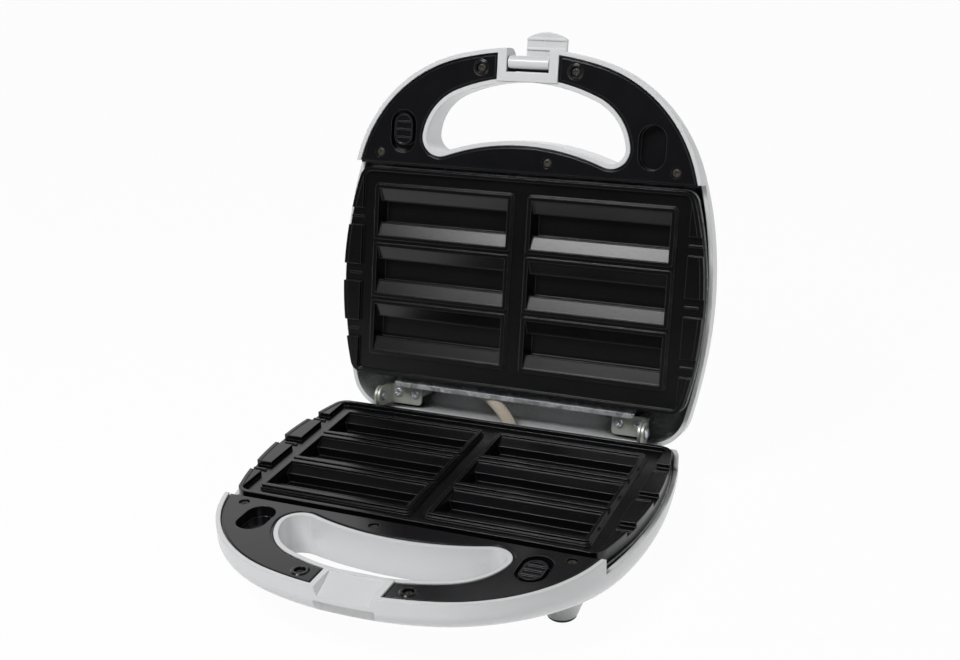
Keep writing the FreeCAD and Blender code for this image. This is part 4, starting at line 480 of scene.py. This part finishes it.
def screw_head():
    """A pan head of unit radius and height, with a cross recess and a rounded edge."""
    form = bmesh.new()
    rings = []
    for ring in range(1, HEAD_RINGS + 1):
        radius = ring / HEAD_RINGS
        points = []
        for step in range(HEAD_STEPS):
            turn = 2 * math.pi * step / HEAD_STEPS
            x, y = radius * math.cos(turn), radius * math.sin(turn)
            points.append(form.verts.new((x, y, head_height(x, y))))
        rings.append(points)
    top = form.verts.new((0, 0, head_height(0, 0)))
    foot = [form.verts.new((p.co.x, p.co.y, 0)) for p in rings[-1]]
    rings.append(foot)
    for step in range(HEAD_STEPS):
        after = (step + 1) % HEAD_STEPS
        form.faces.new((top, rings[0][step], rings[0][after]))
        for inner, outer in zip(rings, rings[1:]):
            form.faces.new((inner[step], outer[step], outer[after], inner[after]))
    form.faces.new(list(reversed(foot)))
    mesh = bpy.data.meshes.new("screw_head")
    form.to_mesh(mesh)
    form.free()
    for face in mesh.polygons:
        face.use_smooth = True
    return bpy.data.objects.new("screw_head", mesh)


def ramp(value, width):
    """0 at zero and below, rising to 1 at that width."""
    return min(1.0, max(0.0, value / width))


def head_height(x, y):
    """Height of a unit pan head with its recess over a point."""
    radius = math.hypot(x, y)
    fall = math.sqrt(max(0.0, 1 - (DOME_REACH * radius) ** DOME_POWER))
    dome = RIM_HEIGHT + (1 - RIM_HEIGHT) * fall
    across, along = sorted((abs(x), abs(y)))
    wing = ramp(WING_HALF_WIDTH - across, WING_SIDE) * ramp(WING_LENGTH - along, WING_END)
    core = ramp(CORE_RADIUS - radius, CORE_SIDE)
    return dome - RECESS_DEPTH * max(wing * (1 - WING_RISE * along), core)


SHANK_SIDES = 20


def screw_pattern(head):
    """Screws that stand on points, all facing one way and each turned by chance."""
    tree = Pattern("screw_pattern", {
        "Facing": "NodeSocketVector", "Head Radius": "NodeSocketFloat", "Head Height": "NodeSocketFloat",
        "Shank Radius": "NodeSocketFloat", "Shank Length": "NodeSocketFloat", "Seed": "NodeSocketInt",
        "Material": "NodeSocketMaterial"})
    wide, tall = tree.input("Head Radius"), tree.input("Head Height")
    length = tree.input("Shank Length")
    unit = tree.node("GeometryNodeObjectInfo", {}, {"Object": head}, "Geometry")
    scale = tree.node("ShaderNodeCombineXYZ", {}, {0: wide, 1: wide, 2: tall})
    cap = tree.node("GeometryNodeTransform", {}, {"Geometry": unit, "Scale": scale})
    rod = tree.node("GeometryNodeMeshCylinder", {}, {
        "Vertices": SHANK_SIDES, "Radius": tree.input("Shank Radius"), "Depth": length}, "Mesh")
    drop = tree.node("ShaderNodeCombineXYZ", {}, {2: length * -0.5})
    rod = tree.node("GeometryNodeTransform", {}, {"Geometry": rod, "Translation": drop})
    screw = tree.join(cap, rod)
    aim = tree.node("FunctionNodeAlignRotationToVector", {"axis": "Z"}, {"Vector": tree.input("Facing")})
    chance = tree.node("FunctionNodeRandomValue", {"data_type": "FLOAT"}, {
        2: 0.0, 3: math.pi / 2, "Seed": tree.input("Seed")}, 1)
    turn = tree.node("FunctionNodeAxisAngleToRotation", {}, {"Axis": (0, 0, 1), "Angle": chance})
    spin = tree.node("FunctionNodeRotateRotation", {"rotation_space": "LOCAL"},
                     {"Rotation": aim, "Rotate By": turn})
    spots = tree.node("GeometryNodeMeshToPoints", {}, {"Mesh": tree.input("Geometry")})
    tree.close(tree.node("GeometryNodeInstanceOnPoints", {}, {
        "Points": spots, "Instance": screw, "Rotation": spin}))
    return tree


# Points closer than this belong to one screw
SCREW_GAP = 3 * MM

# Points past the first share of a screw's radius are on its head's rim, those within the second on its shank
RIM_SHARE, SHANK_SHARE = 0.9, 0.8


def screw_groups(flat):
    """Indices of the points of each screw, from places without their heights."""
    near = np.linalg.norm(flat[:, None] - flat[None], axis=2) < SCREW_GAP
    loose = np.ones(len(flat), bool)
    groups = []
    while loose.any():
        group = near[np.argmax(loose)]
        grown = near[group].any(0)
        while (grown != group).any():
            group, grown = grown, near[grown].any(0)
        groups.append(np.flatnonzero(group))
        loose &= ~group
    return groups


def screw_sizes(name, up):
    """Seats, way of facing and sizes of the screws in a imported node."""
    points = np.array([vertex.co for vertex in NODES[name].data.vertices])
    heights = points @ np.array(up)
    flat = points - np.outer(heights, np.array(up))
    seats = []
    for group in screw_groups(flat):
        middle = (flat[group].max(0) + flat[group].min(0)) / 2
        reach = np.linalg.norm(flat[group] - middle, axis=1)
        head = heights[group][reach > RIM_SHARE * reach.max()]
        seats.append((middle, head.min(), head.max(), heights[group].min(), heights[group].max(), reach))
    _, low, high, bottom, top, reach = seats[0]
    faces_up = top - high < low - bottom
    sizes = {
        "Head Radius": float(reach.max()), "Head Height": float(high - low),
        "Shank Radius": float(reach[reach < SHANK_SHARE * reach.max()].max()),
        "Shank Length": float(low - bottom if faces_up else top - high),
    }
    spots = [Vector(row[0] + np.array(up) * (row[1] if faces_up else row[2])) for row in seats]
    return spots, up if faces_up else -up, sizes


def add_screws():
    """Screws with cross recesses in place of the plain packed ones."""
    tree = screw_pattern(screw_head())
    sets = ("cover_screws", "hinge_screws", "plate_screws", "shield_screws")
    for seed, (half, kind) in enumerate((half, kind) for half in ("base", "lid") for kind in sets):
        name = f"{half}_{kind}"
        spots, facing, sizes = screw_sizes(name, FACING[half])
        carrier = bpy.data.meshes.new(f"{name}_spots")
        carrier.from_pydata(spots, [], [])
        piece = tree.make(f"{half}_cross_{kind}", carrier, {
            **sizes, "Facing": facing, "Seed": seed, "Material": FINISH_OF_SLOT[SLOT_OF[name]]})
        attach(piece, half)
        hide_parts(name)


# The sleeve's route from the lid down into the base, from the hinge's middle, in millimetres
SLEEVE_ROUTE = [(-30, 23, 2), (-20, 14.5, 4), (-11, 8.2, 2.2), (1, 0.4, -5), (7, -4.2, -14), (9, -7.2, -24)]
ROUTE_RESOLUTION = 24
BRAID_RADIUS = 3.0 * MM
YARN_RADIUS = 0.5 * MM
YARN_LIFT = 0.3 * MM
YARN_PAIRS = 12
YARN_TURNS = 3.2
YARN_STEPS, YARN_SIDES = 300, 6
CORE_STEPS, CORE_SIDES = 60, 20


def braid_pattern():
    """Yarns that wind both ways round a route and pass over and under each other, on a core."""
    tree = Pattern("braid_pattern", {
        "Braid Radius": "NodeSocketFloat", "Yarn Radius": "NodeSocketFloat", "Yarn Lift": "NodeSocketFloat",
        "Yarn Pairs": "NodeSocketInt", "Turns": "NodeSocketFloat", "Steps": "NodeSocketInt",
        "Material": "NodeSocketMaterial"})
    pairs, turns = tree.input("Yarn Pairs"), tree.input("Turns")
    route = tree.node("GeometryNodeResampleCurve", {},
                      {"Curve": tree.input("Geometry"), "Count": tree.input("Steps")})
    copies = tree.node("GeometryNodeDuplicateElements", {"domain": "SPLINE"},
                       {"Geometry": route, "Amount": pairs * 2})
    number = Field(tree, copies.socket.node.outputs["Duplicate Index"])
    hand = number.sum("MODULO", number, 2.0)
    along = tree.node("GeometryNodeSplineParameter", output="Factor")
    start = (number - hand) * math.pi / pairs
    angle = start + (1 - 2 * hand) * along * turns * (2 * math.pi)
    beat = along * turns * pairs * (2 * math.pi)
    lift = (1 - 2 * hand) * beat.sum("COSINE", beat, 0.0) * tree.input("Yarn Lift")
    reach = tree.input("Braid Radius") + lift
    normal = tree.node("GeometryNodeInputNormal")
    tangent = tree.node("GeometryNodeInputTangent")
    side = tree.node("ShaderNodeVectorMath", {"operation": "CROSS_PRODUCT"}, {0: tangent, 1: normal})
    shares = ((normal, angle.sum("COSINE", angle, 0.0)), (side, angle.sum("SINE", angle, 0.0)))
    out = [tree.node("ShaderNodeVectorMath", {"operation": "SCALE"}, {0: way, "Scale": reach * share})
           for way, share in shares]
    offset = tree.node("ShaderNodeVectorMath", {"operation": "ADD"}, {0: out[0], 1: out[1]})
    wound = tree.node("GeometryNodeSetPosition", {}, {"Geometry": copies, "Offset": offset})
    yarns = tree.swept(wound, tree.input("Yarn Radius"), YARN_SIDES)
    plain = tree.node("GeometryNodeResampleCurve", {},
                      {"Curve": tree.input("Geometry"), "Count": CORE_STEPS})
    core = tree.swept(plain, tree.input("Braid Radius"), CORE_SIDES)
    tree.close(tree.node("GeometryNodeSetShadeSmooth", {}, {"Geometry": tree.join(yarns, core)}))
    return tree


def add_sleeve():
    """Braided sleeve along its fixed route from the lid down into the base."""
    curve = bpy.data.curves.new("sleeve_route", "CURVE")
    curve.dimensions = "3D"
    curve.resolution_u = ROUTE_RESOLUTION
    spline = curve.splines.new("NURBS")
    spline.points.add(len(SLEEVE_ROUTE) - 1)
    for point, place in zip(spline.points, SLEEVE_ROUTE):
        point.co = (*(HINGE + Vector(place) * MM), 1)
    spline.order_u = 3
    spline.use_endpoint_u = True
    piece = braid_pattern().make("braided_sleeve", curve, {
        "Braid Radius": BRAID_RADIUS, "Yarn Radius": YARN_RADIUS, "Yarn Lift": YARN_LIFT,
        "Yarn Pairs": YARN_PAIRS, "Turns": YARN_TURNS, "Steps": YARN_STEPS,
        "Material": FINISH_OF_SLOT["braid"]})
    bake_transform(piece)
    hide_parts("wire_sleeve")


# Studio

CAMERA_TURN, CAMERA_RISE, CAMERA_ROLL = (math.radians(angle) for angle in (22.74, 20.81, -1.57))
CAMERA_FROM_HINGE = Vector((0.2898, -0.7310, 0.3538))
FOCAL_PIXELS = 1406.5
IMAGE_WIDTH = 960
SENSOR = 36
NEAREST_SEEN = 0.01


def add_camera():
    """Camera at the photograph's viewing angle."""
    right = Vector((math.cos(CAMERA_TURN), math.sin(CAMERA_TURN), 0))
    level = math.cos(CAMERA_RISE)
    back = Vector((math.sin(CAMERA_TURN) * level, -math.cos(CAMERA_TURN) * level, math.sin(CAMERA_RISE)))
    up = back.cross(right)
    rolled = Matrix.Rotation(CAMERA_ROLL, 3, back)
    lens = bpy.data.cameras.new("camera")
    lens.sensor_width = SENSOR
    lens.lens = FOCAL_PIXELS / IMAGE_WIDTH * SENSOR
    lens.clip_start = NEAREST_SEEN
    stand = bpy.data.objects.new("camera", lens)
    bpy.context.scene.collection.objects.link(stand)
    place = Matrix((rolled @ right, rolled @ up, back)).transposed().to_4x4()
    place.translation = HINGE + CAMERA_FROM_HINGE
    stand.matrix_world = place
    bpy.context.scene.camera = stand


# The paper ends in front of the part, so that the open lid faces a dark room
FLOOR_X = (-7, 7)
FLOOR_Y = (-0.95, 7)
FLOOR_GLOW = 0.965


def add_floor():
    """Pale floor that reads as white and keeps a soft shadow."""
    sheet = bpy.data.meshes.new("floor")
    sheet.from_pydata([(x, y, 0) for y in FLOOR_Y for x in FLOOR_X], [], [(0, 1, 3, 2)])
    floor = bpy.data.objects.new("floor", sheet)
    bpy.context.scene.collection.objects.link(floor)
    paint = Paint("floor_paper")
    fibre = paint.noise(60, 3)
    paint.finish(Base_Color=paint.mix(fibre, (0.88, 0.88, 0.88), (0.92, 0.92, 0.92)),
                 Roughness=0.8 + 0.1 * fibre)
    rays = [paint.node("ShaderNodeLightPath", output=f"Is {kind} Ray")
            for kind in ("Camera", "Glossy", "Transmission")]
    seen = rays[0].sum("MAXIMUM", rays[0], rays[1])
    seen = seen.sum("MAXIMUM", seen, rays[2])
    white = paint.node("ShaderNodeEmission", {}, {"Color": (1, 1, 1), "Strength": 1.0})
    paper = Field(paint, paint.shader.outputs[0])
    blend = paint.node("ShaderNodeMixShader", {}, {0: seen * FLOOR_GLOW, 1: paper, 2: white})
    paint.nodes.links.new(blend.socket, paint.nodes.nodes["Material Output"].inputs[0])
    floor.data.materials.append(paint.material)


DIM_ROOM = 0.06

# Where the backdrop's light starts from front to back and ends upwards, as parts of a unit direction
BACKDROP_STARTS = (-0.25, 0.45)
BACKDROP_ENDS = (0.4, 0.8)


def add_world():
    """A white backdrop low behind the part, in a room that is dim overhead and behind the camera."""
    world = bpy.data.worlds.new("studio")
    world.use_nodes = True
    bpy.context.scene.world = world
    tree = Tree(world.node_tree)
    way = tree.node("ShaderNodeTexCoord", output="Generated")
    parts = tree.node("ShaderNodeSeparateXYZ", {}, {0: way})
    y, z = (Field(tree, parts.socket.node.outputs[axis]) for axis in ("Y", "Z"))
    behind = tree.between(y, *BACKDROP_STARTS)
    overhead = tree.between(z, *BACKDROP_ENDS)
    glow = DIM_ROOM + (1 - DIM_ROOM) * behind * (1 - overhead)
    seen = tree.node("ShaderNodeLightPath", output="Is Camera Ray")
    light = world.node_tree.nodes["Background"].inputs
    tree.fill(light["Color"], (1, 1, 1))
    tree.fill(light["Strength"], glow.sum("MAXIMUM", glow, seen))


def add_lamp(name, place, aim, size, power):
    """A square softbox."""
    lamp = bpy.data.lights.new(name, "AREA")
    lamp.size = size
    lamp.energy = power
    stand = bpy.data.objects.new(name, lamp)
    bpy.context.scene.collection.objects.link(stand)
    stand.location = place
    stand.rotation_euler = (Vector(aim) - Vector(place)).to_track_quat("-Z", "Y").to_euler()


# Name, place, aim, size in metres and power in watts
LAMPS = (
    ("key_softbox", (-0.30, -0.68, 1.05), (0, 0.05, 0.12), 0.42, 8.6),
    ("side_softbox", (0.8, -1.1, 0.68), (0, 0, 0.1), 0.6, 2.2),
)


def add_studio():
    """Floor, room and lamps, shown with plain colours."""
    add_floor()
    add_world()
    for lamp in LAMPS:
        add_lamp(*lamp)
    bpy.context.scene.view_settings.view_transform = "Standard"


dress_nodes()
add_screws()
add_sleeve()
add_studio()
add_camera()
